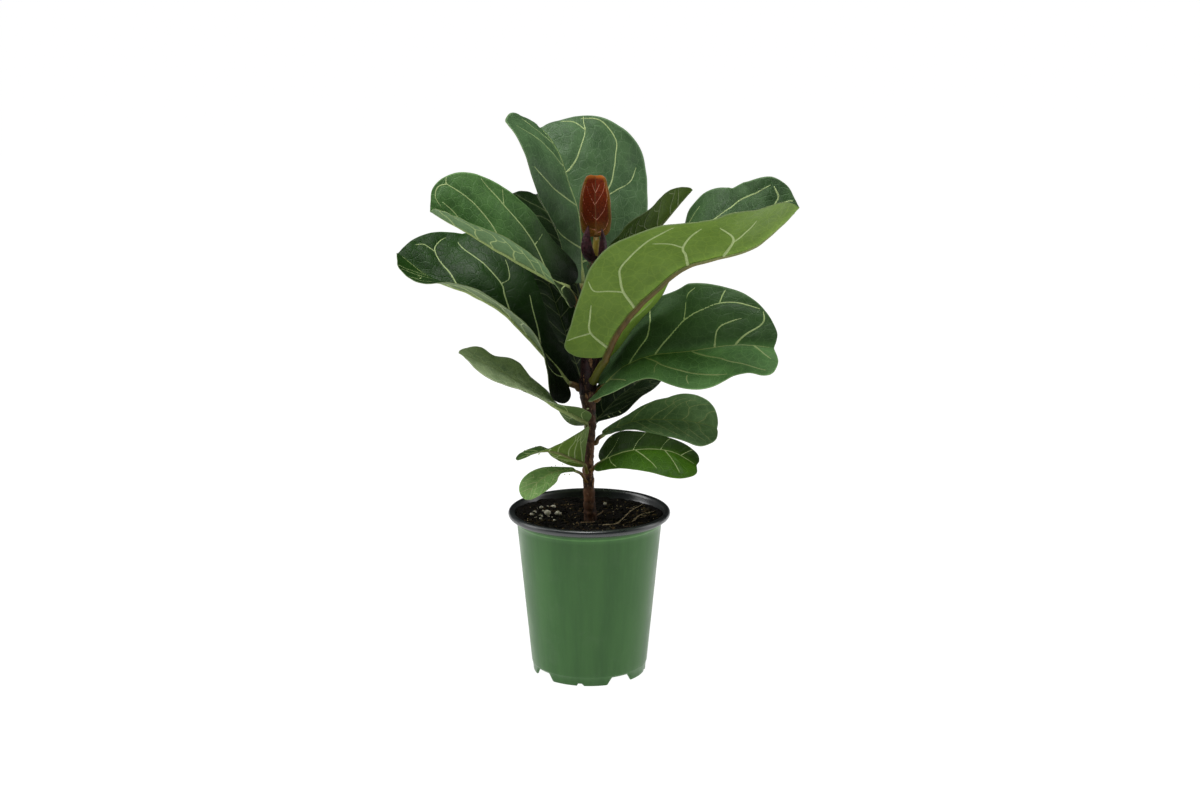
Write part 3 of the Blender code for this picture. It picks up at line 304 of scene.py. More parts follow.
# Strands on the mix, as points in x and y
TWIGS = (((-8, -14), (-1, -12.5), (5, -10.5)), ((7, 11), (10, 17), (13, 26)))
SURFACE_ROOTS = (((12.6, -21.5), (25.4, -15), (34.5, 12), (40.7, 25), (50, 36)),
                 ((40, -11.5), (45, 2.6), (49.6, 8), (57, 11)))

VEIN_STARTS = (0.03, 0.14, 0.27, 0.41, 0.55, 0.69, 0.82)    # usual places of the side veins
THICKNESS = 0.75            # of a blade
MARGIN = 0.22               # how far the margin stands out between the two faces
RIB_END = 0.975             # share of the length that the midrib runs along
RIB_POINTS, HANDLE_POINTS, RIB_AROUND = 60, 22, 14    # along the midrib, along the petiole, around both
PATTERN_SHIFT = (137, 61)   # moves the small veins from leaf to leaf


# ---------------------------------------------------------------- curves and surfaces

def full_turn(count):
    """Evenly spaced angles once round."""
    return np.arange(count) * 2 * math.pi / count


def spline(points, fractions):
    """Points of a smooth curve through the given points, at fractions of its length."""
    points = np.array(points, float)
    ends = np.vstack([2 * points[0] - points[1], points, 2 * points[-1] - points[-2]])
    dense = []
    for a, b, c, d in zip(ends, ends[1:], ends[2:], ends[3:]):
        for t in np.linspace(0, 1, 24, endpoint=False):
            dense.append(0.5 * (2 * b + (c - a) * t + (2 * a - 5 * b + 4 * c - d) * t ** 2
                                + (3 * b - a - 3 * c + d) * t ** 3))
    dense = np.array(dense + [points[-1]])
    run = np.concatenate([[0], np.cumsum(np.linalg.norm(np.diff(dense, axis=0), axis=1))])
    wanted = np.asarray(fractions) * run[-1]
    return np.stack([np.interp(wanted, run, dense[:, axis]) for axis in range(dense.shape[1])], axis=-1)


def unit(vectors):
    return vectors / np.maximum(np.linalg.norm(vectors, axis=-1, keepdims=True), 1e-12)


def along(values, s):
    """A value that runs smoothly through evenly spaced values from the blade base to the tip."""
    values = np.array(values, float)
    if len(values) == 2:
        return np.interp(s, (0, 1), values)
    knots = np.linspace(0, 1, len(values))
    fine = np.linspace(0, 1, 121)
    straight = np.interp(fine, knots, values)
    padded = np.concatenate([np.full(8, straight[0]), straight, np.full(8, straight[-1])])
    return np.interp(s, fine, np.convolve(padded, np.ones(17) / 17, "valid"))


def noise_at(points, scale, seed):
    """Smooth noise between -1 and 1 for each point, scale being the size of its features."""
    dx, dy = seed * 7.3, seed * 3.1
    return np.array([noise.noise(Vector((x / scale + dx, y / scale - dy, z / scale + seed)))
                     for x, y, z in points])


def distance(points, line):
    """Distance from each 2-D point to a 2-D polyline, and how far along the line the nearest place is."""
    best = np.full(len(points), 1e9)
    where = np.zeros(len(points))
    count = len(line) - 1
    for k in range(count):
        a, step = line[k], line[k + 1] - line[k]
        share = np.clip((points - a) @ step / max(step @ step, 1e-9), 0, 1)
        gap = np.linalg.norm(points - a - share[:, None] * step, axis=1)
        near = gap < best
        best[near] = gap[near]
        where[near] = (k + share[near]) / count
    return best, where


class Blade:
    """The middle surface of a leaf, bent along its midrib, folded beside it, with its veins sunk a little."""

    def __init__(self, leaf, seed):
        self.leaf = leaf
        self.seed = seed
        self.s = np.linspace(0, 1, 257)
        self.centre = spline(leaf.midrib, self.s)
        self.length = np.linalg.norm(np.diff(self.centre, axis=0), axis=1).sum()
        self.forward = unit(np.gradient(self.centre, axis=0))
        facing = np.stack([along([f[axis] for f in leaf.facing], self.s) for axis in range(3)], axis=-1)
        facing -= np.sum(facing * self.forward, axis=1, keepdims=True) * self.forward
        self.up = unit(facing)
        self.right = np.cross(self.forward, self.up)
        self.size = leaf.half_width / 60
        self.lines = self.vein_lines()

    def table(self, values, s):
        return np.stack([np.interp(s, self.s, values[:, axis]) for axis in range(3)], axis=-1)

    def flat(self, s, t):
        """Places on the flattened leaf, millimetres."""
        wide = np.where(t > 0, self.leaf.wide[1], self.leaf.wide[0])
        return np.stack([s * self.length, t * wide * self.leaf.half_width], axis=-1)

    def trimmed(self, line):
        """The part of a vein that lies on the blade, short of its margin."""
        side = 1 if line[-1, 1] > 0 else 0
        edge = spline(self.leaf.outline[side], np.linspace(0, 1, 80)) * (1, 0.965 * (1 if side else -1))
        keep = np.ones(len(line), bool)
        for k, (s, t) in enumerate(line):
            (a, b), (c, d) = edge.T, np.roll(edge, -1, axis=0).T
            crossing = ((b > t) != (d > t)) & (s < (c - a) * (t - b) / np.where(d == b, 1e-9, d - b) + a)
            keep[k] = k < 3 or crossing.sum() % 2 == 1
        last = len(line) if keep.all() else int(np.argmin(keep))
        return line[:max(last, 4)]

    def vein_lines(self):
        """Side veins as (start width, end width, (s, t) points), the main ones first."""
        given = {side for side, path in self.leaf.veins}
        made = []
        for side, path in self.leaf.veins:
            fine = spline([(s / 100, side * t / 100) for s, t in path], np.linspace(0, 1, 9 * len(path)))
            starts_at_midrib = path[0][1] == 0
            made.append((1.05, 0.55, fine) if starts_at_midrib else (0.75, 0.42, fine))
        for side in (-1, 1):
            if side in given:
                continue
            for k, start in enumerate(VEIN_STARTS):
                shift = 0.02 * math.sin(self.seed * 3.7 + k * 2.3 + side)
                s0 = start + shift * (k > 0)
                lift = 0.10 + 0.05 * math.sin(self.seed + 1.3 * k)
                path = [(s0, 0), (s0 + 0.05, 0.2), (s0 + lift, 0.46), (s0 + lift + 0.07, 0.68),
                        (s0 + lift + 0.15, 0.83)]
                path = [(min(s, 0.97), t * (1 - 0.5 * max(s - 0.75, 0))) for s, t in path]
                made.append((0.95, 0.45, spline([(s, t * side) for s, t in path], np.linspace(0, 1, 40))))
                fork = [path[2], (s0 + lift - 0.03, 0.64), (s0 + lift + 0.01, 0.82)]
                if k < 6:
                    made.append((0.6, 0.36, spline([(s, t * side) for s, t in fork], np.linspace(0, 1, 22))))
        return [(start, end, self.trimmed(line)) for start, end, line in made]

    def base(self, s, t):
        """Points of the smooth surface, before veins sink into it."""
        leaf = self.leaf
        s, t = np.asarray(s, float), np.asarray(t, float)
        inside = np.clip(s, 0, 1)
        side = t > 0
        reach = np.abs(t)
        fold, curl = (np.radians(np.where(side, along(right, inside), along(left, inside)))
                      for left, right in (leaf.fold, leaf.curl))
        width = leaf.half_width * np.where(side, leaf.wide[1], leaf.wide[0])
        out = width / curl * (np.sin(fold + curl * reach) - np.sin(fold))
        rise = width / curl * (np.cos(fold) - np.cos(fold + curl * reach))
        waves = [h * reach ** 2 * np.sin(2 * math.pi * (count * s + phase)) for h, count, phase in leaf.wave]
        rise = rise + np.where(side, waves[1], waves[0])
        beyond = ((s - inside) * self.length)[:, None]
        sideways = np.where(side, out, -out)[:, None]
        centre = self.table(self.centre, inside) + beyond * self.table(self.forward, inside)
        upward = rise[:, None] * self.table(self.up, inside)
        return centre + sideways * self.table(self.right, inside) + upward

    def normal(self, s, t):
        ds, dt = 0.006, 0.03
        run = self.base(s + ds, t) - self.base(s - ds, t)
        across = self.base(s, t + dt) - self.base(s, t - dt)
        return unit(np.cross(across, run))

    def sink(self, s, t):
        """How deep the surface dips towards its veins, 1.1 being its depth along the midrib."""
        places = self.flat(s, t)
        deep = 1.1 * np.exp(-(np.abs(places[:, 1]) / (5.5 * self.size + 1)) ** 2)
        for start, end, line in self.lines:
            gap, where = distance(places, self.flat(line[:, 0], line[:, 1]))
            depth = start + (end - start) * where
            reach = 4.6 * self.size * (0.6 + 0.4 * depth) + 0.6
            deep = np.maximum(deep, depth * np.exp(-(gap / reach) ** 2))
        return deep

    def place(self, s, t):
        """Points and normals of the middle surface with its veins sunk and its panels slightly uneven."""
        s, t = np.asarray(s, float), np.asarray(t, float)
        up = self.normal(s, t)
        flat = self.flat(s, t)
        flat3 = np.column_stack([flat, np.zeros(len(flat))])
        deep = self.sink(s, t)
        reach = np.abs(t)
        lift = -1.35 * self.size * deep
        lift += self.size * (1.2 * noise_at(flat3, 26 * self.size + 4, self.seed)
                             + 0.5 * noise_at(flat3, 9 * self.size + 2, self.seed + 2))
        lift += self.size * 1.5 * reach ** 3 * noise_at(flat3, 21 * self.size + 4, self.seed + 5)
        return self.base(s, t) + up * lift[:, None], up, deep

    def sheet(self, rows, across):
        """Places (s, t) of a sheet over the blade, how near each is to the margin, its grid and its faces."""
        u = np.linspace(0, 1, rows)
        middle = (1 - np.cos(math.pi * u)) / 2
        edges = [spline(points, u) for points in self.leaf.outline]
        s = np.zeros((rows, len(across)))
        t = np.zeros((rows, len(across)))
        for j, a in enumerate(across):
            edge = edges[1 if a > 0 else 0]
            s[:, j] = middle + (edge[:, 0] - middle) * abs(a)
            t[:, j] = edge[:, 1] * a
        index, faces = sheet_index(rows, len(across))
        order = np.zeros(index.max() + 1, int)
        order[index.ravel()] = np.arange(s.size)
        near = np.abs(np.tile(across, rows))
        return s.ravel()[order], t.ravel()[order], near[order], index, faces


# ---------------------------------------------------------------- meshes

class Builder:
    """Collects points, faces, materials and point values, then makes one mesh object in metres."""

    def __init__(self):
        self.points, self.faces, self.slots = [], [], []
        self.values = {"leaf_xy": [], "shade": [], "tint": []}
        self.count = 0

    def add(self, points, faces, slot, leaf_xy=None, shade=None, tint=None):
        """slot is one material number or one for each face."""
        points = np.asarray(points, float)
        self.points.append(points)
        base = self.count
        self.faces += [tuple(base + v for v in face) for face in faces]
        self.slots += list(slot) if hasattr(slot, "__len__") else [slot] * len(faces)
        blank = np.zeros((len(points), 3))
        for key, given in (("leaf_xy", leaf_xy), ("shade", shade), ("tint", tint)):
            self.values[key].append(blank if given is None else np.broadcast_to(given, (len(points), 3)))
        self.count += len(points)

    def make(self, name, materials, nodes):
        mesh = bpy.data.meshes.new(name)
        points = np.vstack(self.points) * MM
        mesh.from_pydata(points.tolist(), [], self.faces)
        mesh.polygons.foreach_set("material_index", np.array(self.slots, np.int32))
        for key, parts in self.values.items():
            layer = mesh.attributes.new(key, "FLOAT_VECTOR", "POINT")
            layer.data.foreach_set("vector", np.vstack(parts).astype(np.float32).ravel())
        shaped = bmesh.new()
        shaped.from_mesh(mesh)
        bmesh.ops.recalc_face_normals(shaped, faces=shaped.faces)
        shaped.to_mesh(mesh)
        shaped.free()
        mesh.shade_smooth()
        for look in materials:
            mesh.materials.append(look)
        made = bpy.data.objects.new(name, mesh)
        bpy.context.scene.collection.objects.link(made)
        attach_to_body(made, "root")
        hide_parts(*nodes)
        return made


def sheet_index(rows, columns):
    """Vertex numbers of a grid whose first and last rows are single points, and its faces."""
    index = np.zeros((rows, columns), int)
    for i in range(1, rows - 1):
        index[i] = 1 + (i - 1) * columns + np.arange(columns)
    index[-1] = 1 + (rows - 2) * columns
    faces = []
    for i in range(rows - 1):
        for j in range(columns - 1):
            corners = (index[i, j], index[i, j + 1], index[i + 1, j + 1], index[i + 1, j])
            faces.append(tuple(dict.fromkeys(int(c) for c in corners)))
    return index, faces


def margin(index, inset=0):
    """Vertex numbers round a sheet, or so many places inside it: base, right side, tip, left side."""
    middle = index.shape[1] // 2
    numbers = [index[inset, middle], *index[1:-1, -1 - inset],
               index[-1 - inset, middle], *index[-2:0:-1, inset]]
    return [int(v) for v in numbers]


def ring_faces(rings, around):
    """Faces of a closed body of rings, with its two end points as the last vertices."""
    faces = []
    for k in range(rings - 1):
        for j in range(around):
            nxt = (j + 1) % around
            faces.append((k * around + j, k * around + nxt, (k + 1) * around + nxt, (k + 1) * around + j))
    last = (rings - 1) * around
    for j in range(around):
        nxt = (j + 1) % around
        faces.append((rings * around, nxt, j))
        faces.append((rings * around + 1, last + j, last + nxt))
    return faces


def tube(points, normals, section):
    """A closed tube. section(k) gives the ring's (sideways, up) offsets at point k."""
    points = np.asarray(points, float)
    run = unit(np.gradient(points, axis=0))
    side = unit(np.cross(run, normals))
    up = np.cross(side, run)
    rings = []
    for k in range(len(points)):
        ring = np.asarray(section(k))
        rings.append(points[k] + ring[:, :1] * side[k] + ring[:, 1:] * up[k])
    return np.vstack(rings + [points[:1], points[-1:]]), ring_faces(len(rings), len(rings[0]))


def oval_ring(width, above, below, around, square):
    """Points round an oval, fuller on top where square is below 1."""
    angles = full_turn(around)
    high = np.sin(angles)
    lift = np.where(high > 0, above * np.abs(high) ** square, -below * np.abs(high))
    return np.column_stack([width * np.cos(angles), lift])


def stem_at(height):
    """Centre and radius of the stem at a height."""
    table = np.array(STEM, float)
    return [np.interp(height, table[:, 2], table[:, column]) for column in (0, 1, 3)]


def petiole_start(leaf):
    """Points of the petiole from inside the stem to the point before the blade."""
    x, y, radius = stem_at(leaf.attach)
    last = np.array(leaf.petiole, float)
    if leaf.attach == STEM[-1][2]:
        return [np.array([x, y, leaf.attach - 1.5]), np.array([x, y, leaf.attach + 3.0]), last]
    out = np.array([leaf.petiole[0] - x, leaf.petiole[1] - y, 0.0])
    out /= np.linalg.norm(out)
    foot = np.array([x, y, leaf.attach])
    return [foot + out * (radius - 2), foot + out * (radius + 1.6), last]


def add_rib(build, blade, leaf, slot):
    """Petiole and midrib as one tapering tube, round at the stem and flattened into the blade."""
    run = np.linspace(0.0, RIB_END, RIB_POINTS)
    spine, up, deep = blade.place(run, np.zeros(RIB_POINTS))
    handle = petiole_start(leaf) + [spine[0] - up[0] * leaf.rib * 0.5]
    handle = spline(handle, np.linspace(0, 0.96, HANDLE_POINTS))
    path = np.vstack([handle, spine])
    normals = np.vstack([np.repeat(up[:1], HANDLE_POINTS, axis=0), up])
    taper = np.append(np.ones(HANDLE_POINTS), (1 - run) ** 0.9)
    flat = np.concatenate([np.zeros(HANDLE_POINTS - 5), np.linspace(0.15, 0.6, 5),
                           np.clip(0.7 + run * 3, 0, 1)])
    swell = 1 + 0.28 * np.exp(-(np.arange(len(path)) / 4.0) ** 2)

    def section(k):
        radius = leaf.rib * taper[k] * swell[k] + 0.32
        above = radius * (1 - flat[k]) + (THICKNESS / 2 + 0.16) * flat[k]
        below = radius * (1 + 0.45 * flat[k])
        return oval_ring(radius * (1 - 0.18 * flat[k]), above, below, RIB_AROUND, 1 - 0.3 * flat[k])

    verts, faces = tube(path, normals, section)
    blade_share = np.append(np.repeat(flat, RIB_AROUND), [0, 1])
    lower_half = np.clip(0.5 - np.sin(full_turn(RIB_AROUND)) * 2, 0, 1)
    lower_half = np.append(np.tile(lower_half, len(path)), [1, 1])
    fade = np.append(np.ones(HANDLE_POINTS), 1 - run ** 2)
    fade = np.append(np.repeat(fade, RIB_AROUND), [1, 0])
    # x: how much of the petiole's brown shows; y: how olive that brown is
    tone = np.zeros((len(verts), 3))
    tone[:, 0] = np.clip((1 - blade_share) + blade_share * lower_half * leaf.brown, 0, 1) * fade
    tone[:, 1] = (1 - blade_share) * np.clip(leaf.brown, 0, 1)
    build.add(verts, faces, slot, shade=tone, tint=np.full(3, leaf.pale))


def add_vein(build, blade, leaf, slot, start, end, line):
    """A side vein: a thin pale line above and a raised cord below."""
    points, up, deep = blade.place(line[:, 0], line[:, 1])
    share = np.linspace(0, 1, len(line))
    width = (start + (end - start) * share) * (0.45 + 0.62 * blade.size) * leaf.bold
    width = width * np.where(share > 0.93, 0.7, 1)

    def section(k):
        above = THICKNESS / 2 + 0.05 + 0.05 * width[k]
        return oval_ring(width[k], above, THICKNESS / 2 + 0.42 * width[k], 8, 0.5)

    verts, faces = tube(points, up, section)
    build.add(verts, faces, slot, tint=np.full(3, leaf.pale))


def build_leaf(name, leaf, seed, looks):
    """One leaf: upper face, lower face, margin, petiole with midrib, and side veins."""
    blade = Blade(leaf, seed)
    build = Builder()
    step = 1.5 + 0.5 * blade.size
    rows = max(28, int(blade.length * 1.5 / step))
    half = max(10, int(leaf.half_width / step))
    steps = np.append(np.linspace(0, 0.97, half), 1.0)
    across = np.concatenate([-steps[::-1], steps[1:]])
    s, t, near, index, faces = blade.sheet(rows, across)
    near[[0, -1]] = 1
    points, up, deep = blade.place(s, t)
    rise = up * ((THICKNESS / 2) * (1 - 0.25 * near ** 6))[:, None]
    flat = blade.flat(s, t) + np.multiply(PATTERN_SHIFT, seed)
    leaf_xy = np.column_stack([flat, np.abs(t)])
    shade = np.column_stack([deep, near, s])
    # painted shade: the upper face is made darker towards the stem
    away_from_stem = np.clip(s / 0.6, 0, 1) ** 1.3
    # painted light and shade: the left and right halves of each face made lighter or darker
    right = np.clip(t * 4 + 0.5, 0, 1)
    above, below = (left + (other - left) * right for left, other in (leaf.top_painted_light, leaf.under_painted_light))
    above = (1 - leaf.painted_stem_shade * (1 - away_from_stem)) * above
    build.add(points + rise, faces, 0, leaf_xy, shade, np.outer(above, leaf.top))
    build.add(points - rise, [f[::-1] for f in faces], 1, leaf_xy, shade, np.outer(below, leaf.under))
    # the margin, one ring of points a little outside the two faces
    ring = margin(index)
    outward = unit(points[ring] - points[margin(index, 1)])
    start = build.count
    build.add(points[ring] + outward * MARGIN, [], 2, tint=np.full(3, 0.8 * leaf.pale))
    total = len(points)
    for k in range(len(ring)):
        m = (k + 1) % len(ring)
        build.faces.append((ring[k], ring[m], start + m, start + k))
        build.faces.append((start + k, start + m, total + ring[m], total + ring[k]))
        build.slots += [2, 2]
    add_rib(build, blade, leaf, 3)
    for first, last, line in blade.lines:
        add_vein(build, blade, leaf, 2, first, last, line)
    build.make(name.replace("leaf", "fig_leaf"), looks, [name])


# ---------------------------------------------------------------- materials

class Tree:
    """Short calls for building a node tree."""

    def __init__(self, tree):
        self.tree = tree

    def put(self, kind, inputs=(), **settings):
        node = self.tree.nodes.new(kind)
        for key, value in settings.items():
            setattr(node, key, value)
        for key, value in dict(inputs).items():
            self.link(value, node.inputs[key])
        return node

    def link(self, value, socket):
        if isinstance(value, bpy.types.NodeSocket):
            self.tree.links.new(value, socket)
        else:
            socket.default_value = value

    def position(self, kind="Object"):
        return self.put("ShaderNodeTexCoord").outputs[kind]

    def attribute(self, name):
        return self.put("ShaderNodeAttribute", attribute_name=name).outputs["Vector"]

    def part(self, vector, axis):
        return self.put("ShaderNodeSeparateXYZ", {"Vector": vector}).outputs[axis]

    def math(self, operation, a, b=0.0):
        return self.put("ShaderNodeMath", {0: a, 1: b}, operation=operation).outputs[0]

    def spread(self, value, low, high, out_low=0.0, out_high=1.0, kind="SMOOTHSTEP"):
        inputs = {"Value": value, "From Min": low, "From Max": high, "To Min": out_low, "To Max": out_high}
        return self.put("ShaderNodeMapRange", inputs, interpolation_type=kind).outputs["Result"]

    def mix(self, factor, a, b):
        """Two colours mixed; the numbers are the colour sockets of this node."""
        return self.put("ShaderNodeMix", {0: factor, 6: a, 7: b}, data_type="RGBA").outputs[2]

    def noise(self, vector, scale, detail, rough):
        return self.put("ShaderNodeTexNoise", {"Vector": vector, "Scale": scale, "Detail": detail,
                                               "Roughness": rough}).outputs["Fac"]

    def cells(self, vector, scale, feature="DISTANCE_TO_EDGE", dimensions="2D"):
        node = self.put("ShaderNodeTexVoronoi", {"Vector": vector, "Scale": scale}, feature=feature,
                        voronoi_dimensions=dimensions)
        return node.outputs["Distance"]

    def stretch(self, vector, scale):
        return self.put("ShaderNodeVectorMath", {0: vector, 1: scale}, operation="MULTIPLY").outputs[0]

    def bump(self, height, strength, distance_mm, base=None):
        inputs = {"Height": height, "Strength": strength, "Distance": distance_mm * MM}
        if base is not None:
            inputs["Normal"] = base
        return self.put("ShaderNodeBump", inputs).outputs["Normal"]


class Look(Tree):
    """One material, with values for its shader's sockets."""

    def __init__(self, name, **sockets):
        self.material = bpy.data.materials.new(name)
        self.material.use_nodes = True
        super().__init__(self.material.node_tree)
        self.shader = self.tree.nodes["Principled BSDF"]
        for key, value in sockets.items():
            self.shader.inputs[key.replace("_", " ")].default_value = value

    def finish(self, colour, roughness=None, normal=None):
        for key, value in (("Base Color", colour), ("Roughness", roughness), ("Normal", normal)):
            if value is not None:
                self.link(value, self.shader.inputs[key])
        return self.material


def leaf_patterns(n, net_width, fine_width, blotch_scale, grain_scale):
    """Flattened place on the leaf, its net of veins, the finer net inside that, blotches and grain."""
    flat = n.stretch(n.attribute("leaf_xy"), (1, 1, 0))
    warp = n.put("ShaderNodeTexNoise", {"Vector": flat, "Scale": 0.11, "Detail": 2.0}).outputs["Color"]
    bent = n.put("ShaderNodeVectorMath", {0: warp, 1: (5, 5, 0), 2: flat}, operation="MULTIPLY_ADD")
    bent = bent.outputs[0]
    net = n.spread(n.cells(bent, 0.125), 0.0, net_width, 1.0, 0.0)
    fine = n.spread(n.cells(bent, 0.46), 0.0, fine_width, 1.0, 0.0)
    return flat, net, fine, n.noise(flat, blotch_scale, 4.0, 0.6), n.noise(flat, grain_scale, 3.0, 0.6)


def leaf_top_look():
    """Leathery upper face: deep green, paler along the veins, with a faint net of small veins."""
    n = Look("leaf_upper", Specular_IOR_Level=0.17)
    shade, tint = n.attribute("shade"), n.attribute("tint")
    flat, net, fine, blotch, grain = leaf_patterns(n, 0.10, 0.14, 0.035, 0.9)
    colour = n.mix(n.spread(blotch, 0.3, 0.7), n.stretch(tint, (0.62, 0.68, 0.62)),
                   n.stretch(tint, (1.36, 1.28, 1.28)))
    colour = n.mix(n.spread(grain, 0.35, 0.75, 0, 0.35), colour, n.stretch(tint, (1.7, 1.45, 1.5)))
    colour = n.mix(n.math("MULTIPLY", net, 0.30), colour, n.stretch(tint, (2.2, 1.9, 2.0)))
    colour = n.mix(n.math("MULTIPLY", fine, 0.16), colour, n.stretch(tint, (2.0, 1.8, 1.9)))
    near = n.spread(n.part(shade, "X"), 0.45, 1.1, 0.0, 0.30)
    colour = n.mix(near, colour, n.stretch(tint, (1.6, 1.5, 1.4)))
    edge = n.spread(n.part(shade, "Y"), 0.965, 1.0, 0.0, 0.75)
    colour = n.mix(edge, colour, n.stretch(tint, (3.0, 2.4, 3.0)))
    rough = n.spread(n.noise(flat, 0.06, 4.0, 0.65), 0.3, 0.7, 0.30, 0.46)
    height = n.math("ADD", n.math("MULTIPLY", net, -0.5), n.math("MULTIPLY", fine, -0.25))
    normal = n.bump(height, 0.7, 0.5)
    normal = n.bump(grain, 0.35, 0.3, normal)
    return n.finish(colour, rough, normal)


def leaf_under_look():
    """Duller lower face, yellower, with the net of veins standing out paler."""
    n = Look("leaf_lower", Specular_IOR_Level=0.18)
    shade, tint = n.attribute("shade"), n.attribute("tint")
    flat, net, fine, blotch, grain = leaf_patterns(n, 0.13, 0.18, 0.04, 0.8)
    colour = n.mix(n.spread(blotch, 0.3, 0.7), n.stretch(tint, (0.84, 0.86, 0.8)),
                   n.stretch(tint, (1.16, 1.12, 1.2)))
    colour = n.mix(n.spread(grain, 0.35, 0.75, 0, 0.25), colour, n.stretch(tint, (1.3, 1.25, 1.4)))
    colour = n.mix(n.math("MULTIPLY", net, 0.28), colour, n.stretch(tint, (1.9, 1.6, 1.7)))
    colour = n.mix(n.math("MULTIPLY", fine, 0.16), colour, n.stretch(tint, (1.7, 1.5, 1.6)))
    edge = n.spread(n.part(shade, "Y"), 0.965, 1.0, 0.0, 0.6)
    colour = n.mix(edge, colour, (0.22, 0.30, 0.13, 1))
    rough = n.spread(n.noise(flat, 0.07, 4.0, 0.65), 0.3, 0.7, 0.48, 0.62)
    height = n.math("ADD", n.math("MULTIPLY", net, 0.6), n.math("MULTIPLY", fine, 0.3))
    normal = n.bump(height, 0.5, 0.35)
    normal = n.bump(grain, 0.25, 0.2, normal)
    return n.finish(colour, rough, normal)


def vein_look(name, colour, dark, petiole):
    """Pale veins and margins, and petioles that turn olive brown towards the stem."""
    n = Look(name, Specular_IOR_Level=0.3)
    spot = n.position()
    shade = n.attribute("shade")
    speckle = n.noise(spot, 900.0, 3.0, 0.6)
    long = n.noise(spot, 120.0, 2.0, 0.5)
    pale = n.mix(n.spread(speckle, 0.35, 0.7), (*dark, 1), (*colour, 1))
    brown = n.mix(n.spread(long, 0.35, 0.65), (*petiole, 1), tuple(1.7 * c for c in petiole) + (1,))
    brown = n.mix(n.part(shade, "Y"), brown, (0.115, 0.120, 0.016, 1))
    both = n.stretch(n.mix(n.part(shade, "X"), pale, brown), n.attribute("tint"))
    rough = n.spread(speckle, 0.3, 0.7, 0.42, 0.58)
    return n.finish(both, rough, n.bump(speckle, 0.3, 0.2))


def young_look():
    """The unfolding leaf: deep rust red with olive margins and base."""
    n = Look("young_leaf", Specular_IOR_Level=0.3)
    shade = n.attribute("shade")
    flat = n.stretch(n.attribute("leaf_xy"), (1, 1, 0))
    run, edge = n.part(shade, "Z"), n.part(shade, "Y")
    grain = n.noise(flat, 0.7, 4.0, 0.6)
    red = n.mix(n.spread(grain, 0.3, 0.7), (0.080, 0.008, 0.002, 1), (0.190, 0.026, 0.005, 1))
    olive = n.mix(n.spread(grain, 0.3, 0.7), (0.120, 0.050, 0.005, 1), (0.240, 0.120, 0.014, 1))
    colour = n.mix(n.spread(edge, 0.72, 0.92), red, olive)
    colour = n.mix(n.spread(run, 0.30, 0.05, 0.0, 0.8), colour, olive)
    colour = n.mix(n.spread(run, 0.93, 0.99, 0.0, 0.85), colour, (0.40, 0.13, 0.02, 1))
    colour = n.mix(n.spread(run, 0.35, 0.9, 0.0, 0.75), colour, n.stretch(colour, (1.9, 1.6, 1.3)))
    colour = n.mix(n.spread(edge, 0.95, 1.0), colour, (0.30, 0.17, 0.06, 1))
    rough = n.spread(n.noise(flat, 0.3, 3.0, 0.6), 0.3, 0.7, 0.36, 0.5)
    return n.finish(colour, rough, n.bump(grain, 0.4, 0.3))


def bark_look():
    """Dark brown bark with lighter patches, pores and upright cracks, nearly black towards the tip."""
    n = Look("bark", Specular_IOR_Level=0.25)
    spot = n.position()
    tall = n.stretch(spot, (1, 1, 0.22))
    crack = n.noise(tall, 620.0, 5.0, 0.65)
    patch = n.noise(spot, 95.0, 4.0, 0.6)
    pore = n.spread(n.cells(n.stretch(spot, (1, 1, 0.7)), 330.0, "F1", "3D"), 0.16, 0.30, 1.0, 0.0)
    height = n.part(spot, "Z")
    low = n.mix(n.spread(patch, 0.38, 0.66), (0.026, 0.011, 0.006, 1), (0.135, 0.056, 0.022, 1))
    high = n.mix(n.spread(patch, 0.38, 0.66), (0.007, 0.004, 0.004, 1), (0.034, 0.013, 0.010, 1))
    colour = n.mix(n.spread(height, 0.20, 0.29), low, high)
    colour = n.mix(n.spread(crack, 0.45, 0.75, 0.0, 0.7), colour, (0.16, 0.085, 0.045, 1))
    colour = n.mix(n.math("MULTIPLY", pore, 0.5), colour, (0.24, 0.15, 0.085, 1))
    colour = n.mix(n.spread(height, 0.150, 0.136, 0.0, 0.6), colour, (0.012, 0.008, 0.006, 1))
    rough = n.spread(crack, 0.3, 0.7, 0.55, 0.85)
    normal = n.bump(crack, 0.9, 0.9)
    normal = n.bump(n.math("ADD", pore, patch), 0.5, 0.5, normal)
    return n.finish(colour, rough, normal)


